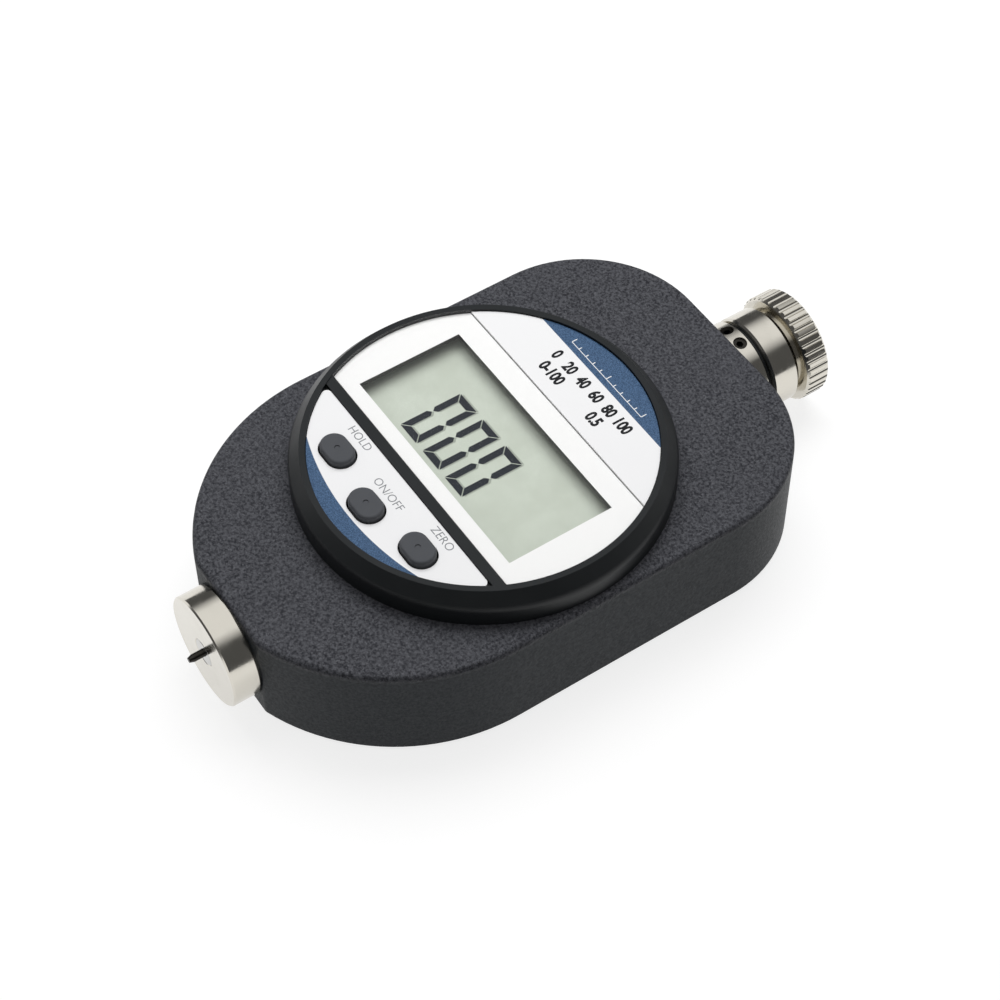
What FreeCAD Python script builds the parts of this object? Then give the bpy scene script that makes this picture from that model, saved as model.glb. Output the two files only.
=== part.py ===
import FreeCAD, Part

import math
import os

import Sketcher

# A pocket electronic hardness gauge for rubber, lying on its back, in millimetres.
# Origin: on the back face, under the centre of the display head. X runs across the body, Y from the
# presser foot (low) to the knurled cap (high), and Z from the back face up through the display.
# The foot is 18 mm across, the standard size of a type A presser foot, and the rest follows from it.

doc = FreeCAD.newDocument("hardness_gauge")
sheet = doc.addObject("Spreadsheet::Sheet", "sizes")
rows = []
pieces = []


# A length that carries its number and its formula over the sheet's cells
class Size:
    def __init__(self, value, formula):
        self.value = float(value)
        self.formula = formula

    def __add__(self, other):
        return joined(self, "+", other)

    def __radd__(self, other):
        return joined(other, "+", self)

    def __sub__(self, other):
        return joined(self, "-", other)

    def __rsub__(self, other):
        return joined(other, "-", self)

    def __mul__(self, other):
        return joined(self, "*", other)

    def __rmul__(self, other):
        return joined(other, "*", self)

    def __truediv__(self, other):
        return joined(self, "/", other)

    def __neg__(self):
        return joined(0, "-", self)


def as_size(value):
    if isinstance(value, Size):
        return value
    return Size(value, "%r" % float(value))


def joined(left, sign, right):
    left = as_size(left)
    right = as_size(right)
    answers = {
        "+": lambda: left.value + right.value,
        "-": lambda: left.value - right.value,
        "*": lambda: left.value * right.value,
        "/": lambda: left.value / right.value,
    }
    return Size(answers[sign](), "(%s %s %s)" % (left.formula, sign, right.formula))


def root(size):
    return Size(math.sqrt(size.value), "sqrt(%s)" % size.formula)


# Part of a length along X or along Y, for a direction in degrees from +X
def part_along_x(length, degrees):
    angle = math.radians(degrees.value)
    return length * Size(math.cos(angle), "cos(%s)" % degrees.formula)


def part_along_y(length, degrees):
    angle = math.radians(degrees.value)
    return length * Size(math.sin(angle), "sin(%s)" % degrees.formula)


# Half the width of a circle where a straight line crosses it
def half_chord(radius, offset):
    return root(radius * radius - offset * offset)


def size(alias, value, note):
    row = len(rows) + 1
    rows.append(alias)
    sheet.set("A%d" % row, note)
    sheet.set("B%d" % row, "%r" % value)
    sheet.setAlias("B%d" % row, alias)
    return Size(value, "sizes." + alias)


# Body casing
half_width = size("half_width", 30.15, "half of the body's width")
knob_end = size("knob_end", 45.7, "knob end of the body, from the dial's centre")
foot_end = size("foot_end", 44.5, "foot end of the body, from the dial's centre")
body_thick = size("body_thick", 18.5, "back face to front face")
knob_corner = size("knob_corner", 20.2, "corner radius at the knob end")
foot_flat = size("foot_flat", 8.8, "half width of the flat at the foot end")
foot_curve = size("foot_curve", 30.7, "length of the long curves at the foot end, along Y")
foot_corner = size("foot_corner", 1.6, "rounding beside the foot")
front_edge_round = size("front_edge_round", 0.8, "front edge rounding")
back_chamfer = size("back_chamfer", 0.8, "sloping edge round the back")
side_wall = size("side_wall", 3.0, "side wall")
front_wall = size("front_wall", 2.4, "front wall")
axis_height = body_thick / 2
front_wall_middle = body_thick - front_wall / 2
end_block_half = size("end_block_half", 9.0, "half width of the blocks behind both end walls")
foot_block_depth = size("foot_block_depth", 8.0, "foot end wall with its block")
knob_block_depth = size("knob_block_depth", 8.2, "knob end wall with its block")
foot_arc_start = foot_end - foot_curve
foot_lean = half_width - foot_flat
foot_arc = (foot_lean * foot_lean + foot_curve * foot_curve) / (foot_lean * 2)

# Back cover and its screws
cover_thick = size("cover_thick", 1.6, "back cover")
cover_edge = size("cover_edge", 2.2, "body edge left round the back cover")
cover_gap = size("cover_gap", 0.15, "gap round the back cover")
boss_radius = size("boss_radius", 3.2, "back cover screw boss")
boss_inset = size("boss_inset", 3.0, "screw boss centre from the inside of the side wall")
boss_knob_inset = size("boss_knob_inset", 22.4, "screw bosses from the knob end")
boss_foot_inset = size("boss_foot_inset", 15.0, "screw bosses from the foot end")
cover_screw_radius = size("cover_screw_radius", 1.25, "M2.5 shank")
cover_screw_head = size("cover_screw_head", 2.3, "countersunk head")
cover_screw_sink = size("cover_screw_sink", 1.2, "height of the countersunk head")
cover_screw_length = size("cover_screw_length", 8.0, "screw length")
head_recess = size("head_recess", 0.1, "screw heads and coin cover below the back face")
thread_gap = size("thread_gap", 0.02, "radial gap of a screw in its thread")
clearance_gap = size("clearance_gap", 0.15, "radial gap of a screw in a clearance hole")
cross_width = size("cross_width", 0.5, "width of a screwdriver slot")
cross_depth = size("cross_depth", 0.6, "depth of a screwdriver slot")
cross_share = size("cross_share", 0.7, "length of a screwdriver slot over the head's width")

# Coin cell, its holder and its cover
cell_wall_gap = size("cell_wall_gap", 0.8, "holder ring from the side wall")
cell_y = size("cell_y", 14.0, "coin cell centre, towards the foot")
cell_radius = size("cell_radius", 10.0, "coin cell, 20 mm across")
cell_thick = size("cell_thick", 3.2, "coin cell")
cell_low = size("cell_low", 2.2, "underside of the coin cell")
cell_can_step = size("cell_can_step", 0.9, "step from the can to the cap")
holder_wall = size("holder_wall", 1.0, "holder ring wall")
holder_gap = size("holder_gap", 0.4, "gap round the coin cell")
holder_room = size("holder_room", 0.4, "room for the leaf contact above the cell")
holder_roof = size("holder_roof", 0.45, "holder roof")
contact_thick = size("contact_thick", 0.25, "stamped contact strip")
contact_half = size("contact_half", 1.25, "half width of a contact strip")
contact_touch = size("contact_touch", 0.03, "gap of a contact to what it touches")
contact_slot_gap = size("contact_slot_gap", 0.4, "gap round a contact strip")
leaf_before = size("leaf_before", 6.0, "leaf contact from the cell's centre, towards the foot")
leaf_after = size("leaf_after", 4.25, "leaf contact from the cell's centre, towards the knob")
coin_cover_radius = size("coin_cover_radius", 10.95, "coin slot cover")
coin_cover_rim = size("coin_cover_rim", 0.75, "cover rim thickness")
coin_cover_gap = size("coin_cover_gap", 0.1, "gap round the cover")
coin_spigot_radius = size("coin_spigot_radius", 10.1, "spigot of the cover")
coin_slot_length = size("coin_slot_length", 13.0, "slot for a coin")
coin_slot_width = size("coin_slot_width", 1.8, "slot for a coin")
coin_slot_depth = size("coin_slot_depth", 0.9, "slot for a coin")
lug_reach = size("lug_reach", 0.8, "bayonet lug beyond the spigot")
lug_thick = size("lug_thick", 0.4, "bayonet lug")
lug_angle = size("lug_angle", 26.0, "bayonet lug, in degrees")
notch_room = size("notch_room", 4.0, "notch wider than the lug that drops through it, in degrees")
lug_gap = size("lug_gap", 0.1, "gap round a lug")
seal_thick = size("seal_thick", 0.2, "flat seal under the cover rim")
seal_width = size("seal_width", 0.6, "flat seal")

# Display head
dial_margin = size("dial_margin", 1.1, "display head inside the body's sides")
rim_slope = size("rim_slope", 1.8, "width of the sloping band outside the rim")
rim_flat = size("rim_flat", 0.95, "width of the flat rim")
rim_drop = size("rim_drop", 2.3, "height of the sloping band outside the rim")
rim_round = size("rim_round", 1.6, "rounding from the sloping band to the wall")
dial_wall = size("dial_wall", 2.0, "wall of the display head")
deck_depth = size("deck_depth", 0.8, "label deck below the rim")
deck_thick = size("deck_thick", 1.8, "deck")
band_depth = size("band_depth", 1.6, "window seat below the rim")
upper_room = size("upper_room", 13.5, "from the rim to the window's straight edge, knob side")
lower_room = size("lower_room", 14.8, "from the rim to the window's straight edge, foot side")
window_gap = size("window_gap", 0.1, "gap round window and labels")
window_thick = size("window_thick", 0.8, "clear window")
mask_thick = size("mask_thick", 0.9, "white display mask")
window_rest = size("window_rest", 0.02, "window above the mask")
mask_lap_x = size("mask_lap_x", 1.95, "mask over the ends of the display glass")
mask_lap_y = size("mask_lap_y", 2.15, "mask over the sides of the display glass")
rib_width = size("rib_width", 1.7, "rib between window and lower label")
rib_below_rim = size("rib_below_rim", 0.15, "rib top below the rim")
label_thick = size("label_thick", 0.4, "label plates")
label_gap = size("label_gap", 0.12, "gap between window and upper label")
label_corner = size("label_corner", 0.8, "rounded corners of the label plates")
lcd_rim_gap = size("lcd_rim_gap", 1.48, "corners of the display glass inside the rim")
lcd_window_gap = size("lcd_window_gap", 0.4, "display glass inside the window's straight edge")
lcd_gap = size("lcd_gap", 0.25, "gap round the display glass")
lcd_behind_mask = size("lcd_behind_mask", 1.5, "front of the display behind the mask")
polariser_thick = size("polariser_thick", 0.2, "front and rear polarising sheets")
polariser_edge = size("polariser_edge", 0.8, "glass left bare round the sheets")
lcd_glass_thick = size("lcd_glass_thick", 0.8, "display glass")
strip_inset = size("strip_inset", 0.5, "connector strip from the edge of the glass")
strip_width = size("strip_width", 1.6, "elastomer connector strip")
strip_end = size("strip_end", 3.2, "ends of a connector strip inside the glass")
strip_height = size("strip_height", 0.7, "elastomer connector strip")
board_wall_gap = size("board_wall_gap", 1.05, "main board inside the display head's wall")
board_gap = size("board_gap", 0.1, "main board above the body")
board_thick = size("board_thick", 0.8, "main board")
chip_radius = size("chip_radius", 4.2, "resin over the controller")
chip_gap = size("chip_gap", 0.1, "resin below the display")
chip_x = size("chip_x", -7.0, "controller centre")
part_gap = size("part_gap", 0.15, "small components below the top of the resin")
part_length = size("part_length", 2.2, "small components")
part_width = size("part_width", 1.2, "small components")
part_pitch = size("part_pitch", 3.6, "row of small components")
part_count = size("part_count", 5, "row of small components")
part_start_x = size("part_start_x", 0.0, "row of small components")
dial_screw_inset = size("dial_screw_inset", 2.2, "dial screws inside the display head's wall")
dial_screw_angle = size("dial_screw_angle", 40.1, "dial screws from the X axis, in degrees")
dial_screw_radius = size("dial_screw_radius", 1.0, "M2 shank")
dial_screw_head = size("dial_screw_head", 1.9, "pan head")
dial_screw_head_height = size("dial_screw_head_height", 1.3, "pan head")
dial_screw_bite = size("dial_screw_bite", 2.6, "screw length inside its boss")
dial_boss_radius = size("dial_boss_radius", 2.9, "shoulder over the board")
dial_spigot_radius = size("dial_spigot_radius", 2.0, "spigot through the board")
shoulder_root = size("shoulder_root", 0.5, "shoulders and posts run up into the deck")
spigot_root = size("spigot_root", 0.25, "spigots run up into their shoulders")
spigot_gap = size("spigot_gap", 0.15, "gap of the board round a spigot")
post_inset = size("post_inset", 1.4, "board screw posts from the board's edge")
post_radius = size("post_radius", 1.7, "board screw posts")
board_screw_radius = size("board_screw_radius", 0.6, "M1.2 shank")
board_screw_head = size("board_screw_head", 1.2, "countersunk head")
board_screw_sink = size("board_screw_sink", 0.6, "height of the countersunk head")
board_screw_length = size("board_screw_length", 2.4, "screw length")

# Buttons
button_shift = size("button_shift", 0.4, "middle button from the centre line")
button_angle = size("button_angle", 30.45, "outer buttons from the middle one, in degrees")
button_row_inset = size("button_row_inset", 4.6, "outer buttons' circle inside the inner rim")
button_mid_inset = size("button_mid_inset", 5.7, "middle button from the inner rim")
button_radius = size("button_radius", 2.15, "round ends of the rubber cap")
button_stretch = size("button_stretch", 0.95, "centres of the round ends, each way along X")
button_above_rim = size("button_above_rim", 0.7, "cap above the rim")
button_round = size("button_round", 0.45, "edge of the cap")
button_gap = size("button_gap", 0.2, "gap round the cap in the deck")
button_label_gap = size("button_label_gap", 0.3, "gap round the cap in the label")
button_travel = size("button_travel", 0.4, "travel of a button")
button_flange = size("button_flange", 3.7, "flange under the deck")
button_flange_thick = size("button_flange_thick", 0.5, "flange under the deck")
button_rest_gap = size("button_rest_gap", 0.05, "flange below the deck")
button_stem = size("button_stem", 1.2, "stem into the switch")
button_stem_gap = size("button_stem_gap", 0.15, "stem above the pressed dome")
dimple_radius = size("dimple_radius", 0.45, "dimple in the cap")
dimple_depth = size("dimple_depth", 0.15, "dimple in the cap")
switch_half = size("switch_half", 2.3, "half width of a switch")
switch_gap = size("switch_gap", 0.15, "switch below the flange of a pressed button")
switch_well = size("switch_well", 1.5, "well of the switch")
switch_floor = size("switch_floor", 0.2, "floor of the switch's well")
dome_radius = size("dome_radius", 1.3, "snap dome")
dome_crown = size("dome_crown", 0.65, "flat top of the snap dome")
dome_height = size("dome_height", 0.2, "snap dome")

# Presser foot and indenter
foot_radius = size("foot_radius", 9.0, "presser foot, 18 mm across")
foot_stand = size("foot_stand", 4.6, "foot face beyond the body")
foot_edge = size("foot_edge", 0.25, "broken edge of the foot")
foot_neck_step = size("foot_neck_step", 0.7, "step down to the neck behind the foot")
foot_neck = size("foot_neck", 0.35, "neck behind the foot")
foot_stem_wall = size("foot_stem_wall", 2.2, "wall of the foot's threaded stem")
foot_stem_length = size("foot_stem_length", 4.5, "threaded stem of the foot")
stem_gap = size("stem_gap", 0.05, "radial gap of the end stems in the casing")
bush_radius = size("bush_radius", 2.25, "guide bush in the foot")
bush_gap = size("bush_gap", 0.01, "radial gap of a pressed bush")
bush_length = size("bush_length", 9.1, "guide bush in the foot")
bush_lip = size("bush_lip", 1.5, "front lip of the guide bush")
bush_edge = size("bush_edge", 0.14, "broken edges round the guide bush's face")
pin_radius = size("pin_radius", 0.625, "indenter, 1.25 mm across")
pin_gap = size("pin_gap", 0.06, "radial gap of the indenter in the lip")
pin_stand = size("pin_stand", 2.5, "indenter beyond the foot face")
pin_tip_radius = size("pin_tip_radius", 0.395, "flat tip, 0.79 mm across")
pin_cone_length = size("pin_cone_length", 0.73, "cone of 35 degrees")
pin_root = size("pin_root", 3.0, "indenter inside the spindle")
travel = size("travel", 2.5, "full travel of the indenter")

# Spindle, slider and reading head
running_gap = size("running_gap", 0.05, "radial running gap of the spindle")
nose_radius = size("nose_radius", 1.5, "spindle nose in the guide bush")
nose_setback = size("nose_setback", 0.3, "spindle nose behind the lip")
stop_gap = size("stop_gap", 0.05, "shoulder to the end of the guide bush")
spindle_radius = size("spindle_radius", 2.5, "spindle")
spring_room = size("spring_room", 15.0, "end of the thick spindle to the spring adjuster")
tail_radius = size("tail_radius", 1.4, "tail of the spindle")
tail_in = size("tail_in", 2.6, "tail inside the upper guide bush")
seat_radius = size("seat_radius", 3.5, "spring seat")
seat_thick = size("seat_thick", 1.4, "spring seat")
spring_mean = size("spring_mean", 3.0, "mean radius of the spring")
spring_wire = size("spring_wire", 0.35, "radius of the spring wire")
spring_turns = size("spring_turns", 6.0, "turns of the spring")
spring_end_gap = size("spring_end_gap", 0.05, "spring to its seats")
slider_half = size("slider_half", 4.0, "half width of the slider block")
slider_setback = size("slider_setback", 13.5, "slider block's foot end from the spring seat")
slider_length = size("slider_length", 11.0, "slider block")
slider_low = size("slider_low", 3.6, "slider block below the axis")
slider_high = size("slider_high", 3.2, "slider block above the axis")
slider_bore_gap = size("slider_bore_gap", 0.02, "radial gap of the slider block on the spindle")
slider_screw_radius = size("slider_screw_radius", 0.8, "set screw of the slider block")
scale_thick = size("scale_thick", 0.6, "moving scale strip")
scale_overhang = size("scale_overhang", 1.0, "scale strip beyond the block")
reader_gap = size("reader_gap", 0.3, "reader board above the scale strip")
reader_half = size("reader_half", 11.0, "half width of the reader board")
reader_before = size("reader_before", 6.5, "reader board before the slider block")
reader_after = size("reader_after", 2.5, "reader board beyond the slider block")
reader_thick = size("reader_thick", 0.8, "reader board")
reader_post_side = size("reader_post_side", 2.0, "posts from the sides of the reader board")
reader_post_end = size("reader_post_end", 2.2, "posts from the ends of the reader board")
reader_post_radius = size("reader_post_radius", 1.8, "posts of the reader board")
reader_screw_radius = size("reader_screw_radius", 0.7, "M1.4 shank")
reader_screw_head = size("reader_screw_head", 1.3, "pan head")
reader_screw_head_height = size("reader_screw_head_height", 0.8, "pan head")
reader_screw_bite = size("reader_screw_bite", 1.2, "screw length inside its post")
flex_half = size("flex_half", 4.0, "half width of the flat cable")
flex_thick = size("flex_thick", 0.15, "flat cable")
flex_run = size("flex_run", 5.0, "flat cable beyond the reader board")
flex_lap = size("flex_lap", 1.5, "flat cable on the reader board")
flex_slot = size("flex_slot", 0.8, "gap round the flat cable")
flex_bend = size("flex_bend", 0.8, "bend of the flat cable")
guide_pin_radius = size("guide_pin_radius", 0.9, "pin that stops the slider turning")
guide_pin_length = size("guide_pin_length", 2.6, "guide pin")
guide_pin_in = size("guide_pin_in", 0.9, "guide pin inside the slider block")
guide_rib_width = size("guide_rib_width", 1.2, "ribs beside the guide pin")
guide_rib_gap = size("guide_rib_gap", 0.5, "ribs below the slider block")
guide_gap = size("guide_gap", 0.06, "gap of the guide pin between its ribs")

# Spring adjuster, collar and knurled cap
adjuster_radius = size("adjuster_radius", 3.6, "spring adjuster")
adjuster_inset = size("adjuster_inset", 12.4, "spring end of the adjuster from the knob end")
adjuster_length = size("adjuster_length", 8.6, "adjuster")
adjuster_bore = size("adjuster_bore", 2.3, "bore for the upper bush")
adjuster_slot = size("adjuster_slot", 1.0, "screwdriver slot of the adjuster")
upper_bush_length = size("upper_bush_length", 5.4, "upper guide bush")
lock_plug_length = size("lock_plug_length", 2.0, "lock plug behind the adjuster")
lock_plug_hex = size("lock_plug_hex", 1.3, "hexagon socket of the lock plug")
collar_stem_wall = size("collar_stem_wall", 1.35, "collar stem round the adjuster")
collar_thick = size("collar_thick", 3.2, "collar flange")
collar_edge = size("collar_edge", 0.2, "broken edges of the collar")
collar_stud_wall = size("collar_stud_wall", 1.8, "stud that takes the cap, round the adjuster")
collar_stud_length = size("collar_stud_length", 6.2, "stud that takes the cap")
grub_radius = size("grub_radius", 1.1, "set screws of the collar")
grub_setback = size("grub_setback", 0.35, "set screw below the flange")
grub_length = size("grub_length", 1.8, "set screw")
grub_hex = size("grub_hex", 0.6, "socket of the set screw")
grub_first = size("grub_first", 8.0, "first set screw from the top, in degrees towards +X")
grub_second = size("grub_second", -17.0, "second set screw from the top, in degrees")
ring_wall = size("ring_wall", 1.62, "black ring in the groove, across its wall")
ring_width = size("ring_width", 0.8, "black ring in the groove")
ring_gap = size("ring_gap", 0.04, "face gaps of the black ring")
cap_wall = size("cap_wall", 2.6, "sleeve of the cap and collar flange, round the stud")
cap_sleeve = size("cap_sleeve", 5.9, "sleeve of the cap")
cap_edge = size("cap_edge", 0.3, "broken edge of the sleeve at the ring")
cap_shoulder = size("cap_shoulder", 0.9, "sloping end of the sleeve beside the wheel")
cap_relief = size("cap_relief", 0.6, "relief between sleeve and wheel")
cap_relief_step = size("cap_relief_step", 0.5, "relief below the sloping end")
cap_thread_gap = size("cap_thread_gap", 0.08, "radial gap of the cap on the stud")
wheel_step = size("wheel_step", 0.95, "knurled wheel above the sleeve")
wheel_width = size("wheel_width", 4.2, "knurled wheel")
wheel_edge = size("wheel_edge", 0.45, "broken edges of the wheel")
flute_radius = size("flute_radius", 0.42, "flute of the knurled wheel")
flute_out = size("flute_out", 0.12, "flute centre outside the wheel")
flute_count = size("flute_count", 40, "flutes round the wheel")

# Heights, stations and radii worked out from the sizes above, from the back face upwards
board_low = body_thick + board_gap
board_top = board_low + board_thick
glass_low = board_top + strip_height
glass_top = glass_low + lcd_glass_thick
lcd_front = glass_top + polariser_thick
band_floor = lcd_front + lcd_behind_mask
mask_top = band_floor + mask_thick
dial_top = band_floor + band_depth
deck_top = dial_top - deck_depth
deck_low = deck_top - deck_thick
flange_top = deck_low - button_rest_gap
flange_low = flange_top - button_flange_thick
switch_top = flange_low - button_travel - switch_gap
chip_height = strip_height - polariser_thick - chip_gap
part_thick = chip_height - part_gap
ceiling = body_thick - front_wall
slider_base = axis_height - slider_low
slider_top = axis_height + slider_high
scale_top = slider_top + scale_thick
reader_low = scale_top + reader_gap
reader_top = reader_low + reader_thick
cell_top = cell_low + cell_thick
lug_low = cover_thick + lug_gap
ledge_high = coin_cover_rim + head_recess + seal_thick
# Across the display head, from its wall inwards
dial_radius = half_width - dial_margin
dial_wall_radius = dial_radius - dial_wall
rim_outer = dial_radius - rim_slope
rim_inner = rim_outer - rim_flat
window_top_edge = rim_inner - upper_room
window_low_edge = rim_inner - lower_room
lcd_half_y = window_low_edge - lcd_window_gap
lcd_half_x = half_chord(rim_inner - lcd_rim_gap, lcd_half_y)
board_radius = dial_wall_radius - board_wall_gap
post_x = board_radius - post_inset
dial_screw_x = part_along_x(dial_wall_radius - dial_screw_inset, dial_screw_angle)
dial_screw_y = part_along_y(dial_wall_radius - dial_screw_inset, dial_screw_angle)
# Along the spindle, from the foot face to the end of the cap
foot_face = -(foot_end + foot_stand)
bush_end = foot_face + bush_length
adjuster_start = knob_end - adjuster_inset
tail_end = adjuster_start + tail_in
spindle_shoulder = adjuster_start - spring_room
slider_start = spindle_shoulder - slider_setback
slider_finish = slider_start + slider_length
reader_start = slider_start - reader_before
reader_finish = slider_finish + reader_after
flex_turn = reader_start - flex_run
collar_face = knob_end + collar_thick
cap_start = collar_face + ring_width
wheel_start = cap_start + cap_sleeve
foot_stem_radius = bush_radius + foot_stem_wall
collar_stem_radius = adjuster_radius + collar_stem_wall
collar_stud_radius = adjuster_radius + collar_stud_wall
cap_radius = collar_stud_radius + cap_wall
wheel_radius = cap_radius + wheel_step
# The coin cell's holder stands against the side wall
holder_inner = cell_radius + holder_gap
cell_x = half_width - side_wall - cell_wall_gap - holder_wall - holder_inner
cell_centre_y = -cell_y


def bind(thing, prop, length):
    thing.setExpression(prop, as_size(length).formula)


def place(thing, x, y, z, rotation=None):
    spot = FreeCAD.Vector(as_size(x).value, as_size(y).value, as_size(z).value)
    thing.Placement = FreeCAD.Placement(spot, rotation or FreeCAD.Rotation())
    bind(thing, "Placement.Base.x", x)
    bind(thing, "Placement.Base.y", y)
    bind(thing, "Placement.Base.z", z)
    return thing


# A piece is an object whose label names its file
def piece(name, thing):
    thing.Label = name
    pieces.append(thing)
    return thing


def block(name, low, high):
    box = doc.addObject("Part::Box", name)
    for prop, start, stop in zip(("Length", "Width", "Height"), low, high):
        bind(box, prop, as_size(stop) - start)
    return place(box, *low)


TURNS = {
    "x": FreeCAD.Rotation(FreeCAD.Vector(0, 1, 0), 90),
    "y": FreeCAD.Rotation(FreeCAD.Vector(1, 0, 0), -90),
    "z": FreeCAD.Rotation(),
}


def rod(name, radius, start, length, along="z"):
    cylinder = doc.addObject("Part::Cylinder", name)
    bind(cylinder, "Radius", radius)
    bind(cylinder, "Height", length)
    return place(cylinder, *start, rotation=TURNS[along])


def fuse(name, shapes):
    union = doc.addObject("Part::MultiFuse", name)
    union.Shapes = shapes
    union.Refine = True
    return union


def cut(name, base, tools):
    result = doc.addObject("Part::Cut", name)
    result.Base = base
    result.Tool = tools[0] if len(tools) == 1 else fuse(name + "_tools", tools)
    return result


def copy_of(name, master, x, y, z, rotation=None):
    link = doc.addObject("App::Link", name)
    link.LinkedObject = master
    return place(link, x, y, z, rotation)


def group(name, members):
    compound = doc.addObject("Part::Compound", name)
    compound.Links = members
    return compound


def origin_feature(body, role):
    return [item for item in body.Origin.OriginFeatures if item.Role == role][0]


def new_body(name, x=0, y=0, z=0):
    body = doc.addObject("PartDesign::Body", name)
    return place(body, x, y, z)


def new_sketch(body, name, role, height=None):
    sketch = body.newObject("Sketcher::SketchObject", name)
    sketch.AttachmentSupport = [(origin_feature(body, role), "")]
    sketch.MapMode = "FlatFace"
    if height is not None:
        sketch.AttachmentOffset = FreeCAD.Placement(FreeCAD.Vector(0, 0, as_size(height).value),
                                                    FreeCAD.Rotation())
        bind(sketch, "AttachmentOffset.Base.z", height)
    return sketch


def name_constraint(sketch, constraint, length):
    index = sketch.addConstraint(constraint)
    name = "d%d" % index
    sketch.renameConstraint(index, name)
    bind(sketch, "Constraints." + name, length)


# Fixes a point of the sketch at a distance from its origin along both axes
def fix_point(sketch, curve, end, x, y):
    for kind, length, axis in (("DistanceX", x, -2), ("DistanceY", y, -1)):
        if as_size(length).value == 0.0:
            sketch.addConstraint(Sketcher.Constraint("PointOnObject", curve, end, axis))
        else:
            value = as_size(length).value
            name_constraint(sketch, Sketcher.Constraint(kind, -1, 1, curve, end, value), length)


# A closed outline, anticlockwise; an arc after a point is given by its radius and centre
def draw(sketch, points, arcs=None):
    arcs = arcs or {}
    first = sketch.GeometryCount
    spots = [FreeCAD.Vector(as_size(x).value, as_size(y).value, 0) for x, y in points]
    count = len(points)
    for index, spot in enumerate(spots):
        following = spots[(index + 1) % count]
        if index in arcs:
            radius, centre_x, centre_y = arcs[index]
            centre = FreeCAD.Vector(as_size(centre_x).value, as_size(centre_y).value, 0)
            circle = Part.Circle(centre, FreeCAD.Vector(0, 0, 1), as_size(radius).value)
            start = math.atan2(spot.y - centre.y, spot.x - centre.x)
            stop = math.atan2(following.y - centre.y, following.x - centre.x)
            if stop <= start:
                stop += 2 * math.pi
            sketch.addGeometry(Part.ArcOfCircle(circle, start, stop), False)
        else:
            sketch.addGeometry(Part.LineSegment(spot, following), False)
    for index in range(count):
        following = first + (index + 1) % count
        sketch.addConstraint(Sketcher.Constraint("Coincident", first + index, 2, following, 1))
    for index, (x, y) in enumerate(points):
        fix_point(sketch, first + index, 1, x, y)
        if index in arcs:
            radius = arcs[index][0]
            constraint = Sketcher.Constraint("Radius", first + index, as_size(radius).value)
            name_constraint(sketch, constraint, radius)


def draw_circle(sketch, x, y, radius):
    centre = FreeCAD.Vector(as_size(x).value, as_size(y).value, 0)
    circle = Part.Circle(centre, FreeCAD.Vector(0, 0, 1), as_size(radius).value)
    curve = sketch.addGeometry(circle, False)
    fix_point(sketch, curve, 3, x, y)
    name_constraint(sketch, Sketcher.Constraint("Radius", curve, as_size(radius).value), radius)


# An outline with two round ends, joined by straight sides along X
def draw_slot(sketch, x, y, stretch, radius):
    middle_x, middle_y, reach = as_size(x), as_size(y), as_size(radius).value
    ends = []
    for centre_x, start in ((middle_x + stretch, -math.pi / 2), (middle_x - stretch, math.pi / 2)):
        centre = FreeCAD.Vector(centre_x.value, middle_y.value, 0)
        circle = Part.Circle(centre, FreeCAD.Vector(0, 0, 1), reach)
        end = sketch.addGeometry(Part.ArcOfCircle(circle, start, start + math.pi), False)
        ends.append((end, centre_x, centre))
    (right, right_x, right_centre), (left, left_x, left_centre) = ends
    side = FreeCAD.Vector(0, reach, 0)
    upper = sketch.addGeometry(Part.LineSegment(right_centre + side, left_centre + side), False)
    lower = sketch.addGeometry(Part.LineSegment(left_centre - side, right_centre - side), False)
    for before, after in ((right, upper), (upper, left), (left, lower), (lower, right)):
        sketch.addConstraint(Sketcher.Constraint("Tangent", before, 2, after, 1))
    sketch.addConstraint(Sketcher.Constraint("Equal", right, left))
    fix_point(sketch, right, 3, right_x, middle_y)
    fix_point(sketch, left, 3, left_x, middle_y)
    name_constraint(sketch, Sketcher.Constraint("Radius", right, reach), radius)


def draw_box(sketch, low_x, low_y, high_x, high_y):
    draw(sketch, [(low_x, low_y), (high_x, low_y), (high_x, high_y), (low_x, high_y)])


def volume(body):
    doc.recompute()
    return body.Shape.Volume


def pad(body, sketch, length):
    before = volume(body) if body.Tip else 0.0
    feature = body.newObject("PartDesign::Pad", sketch.Name + "_pad")
    feature.Profile = sketch
    bind(feature, "Length", length)
    if volume(body) <= before:
        raise ValueError("%s adds nothing" % feature.Name)
    return feature


# Cuts from the sketch towards its own normal
def pocket(body, sketch, length):
    before = volume(body)
    feature = body.newObject("PartDesign::Pocket", sketch.Name + "_pocket")
    feature.Profile = sketch
    feature.Reversed = True
    bind(feature, "Length", length)
    if volume(body) >= before:
        raise ValueError("%s cuts nothing" % feature.Name)
    return feature


# Rounds or chamfers the edges that a test chooses
def dress_edges(body, kind, name, prop, length, chosen):
    base = body.Tip
    doc.recompute()
    names = ["Edge%d" % number for number, edge in enumerate(base.Shape.Edges, 1) if chosen(edge)]
    feature = body.newObject(kind, name)
    feature.Base = (base, names)
    bind(feature, prop, length)
    doc.recompute()


# Rounds the two corners where a label plate's straight edge meets the rim
def round_label(body, straight_edge):
    def corner(edge):
        ends = [vertex.Point for vertex in edge.Vertexes]
        upright = abs(ends[0].z - ends[-1].z) > label_thick.value / 2
        return upright and all(abs(end.y - straight_edge.value) < 0.001 for end in ends)

    dress_edges(body, "PartDesign::Fillet", body.Name + "_corners", "Radius", label_corner, corner)


# A piece turned about the spindle axis: points are radius and station along Y
def turned_y(name, points):
    body = new_body(name, z=axis_height)
    sketch = new_sketch(body, name + "_profile", "XY_Plane")
    return turn(body, sketch, points)


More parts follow.
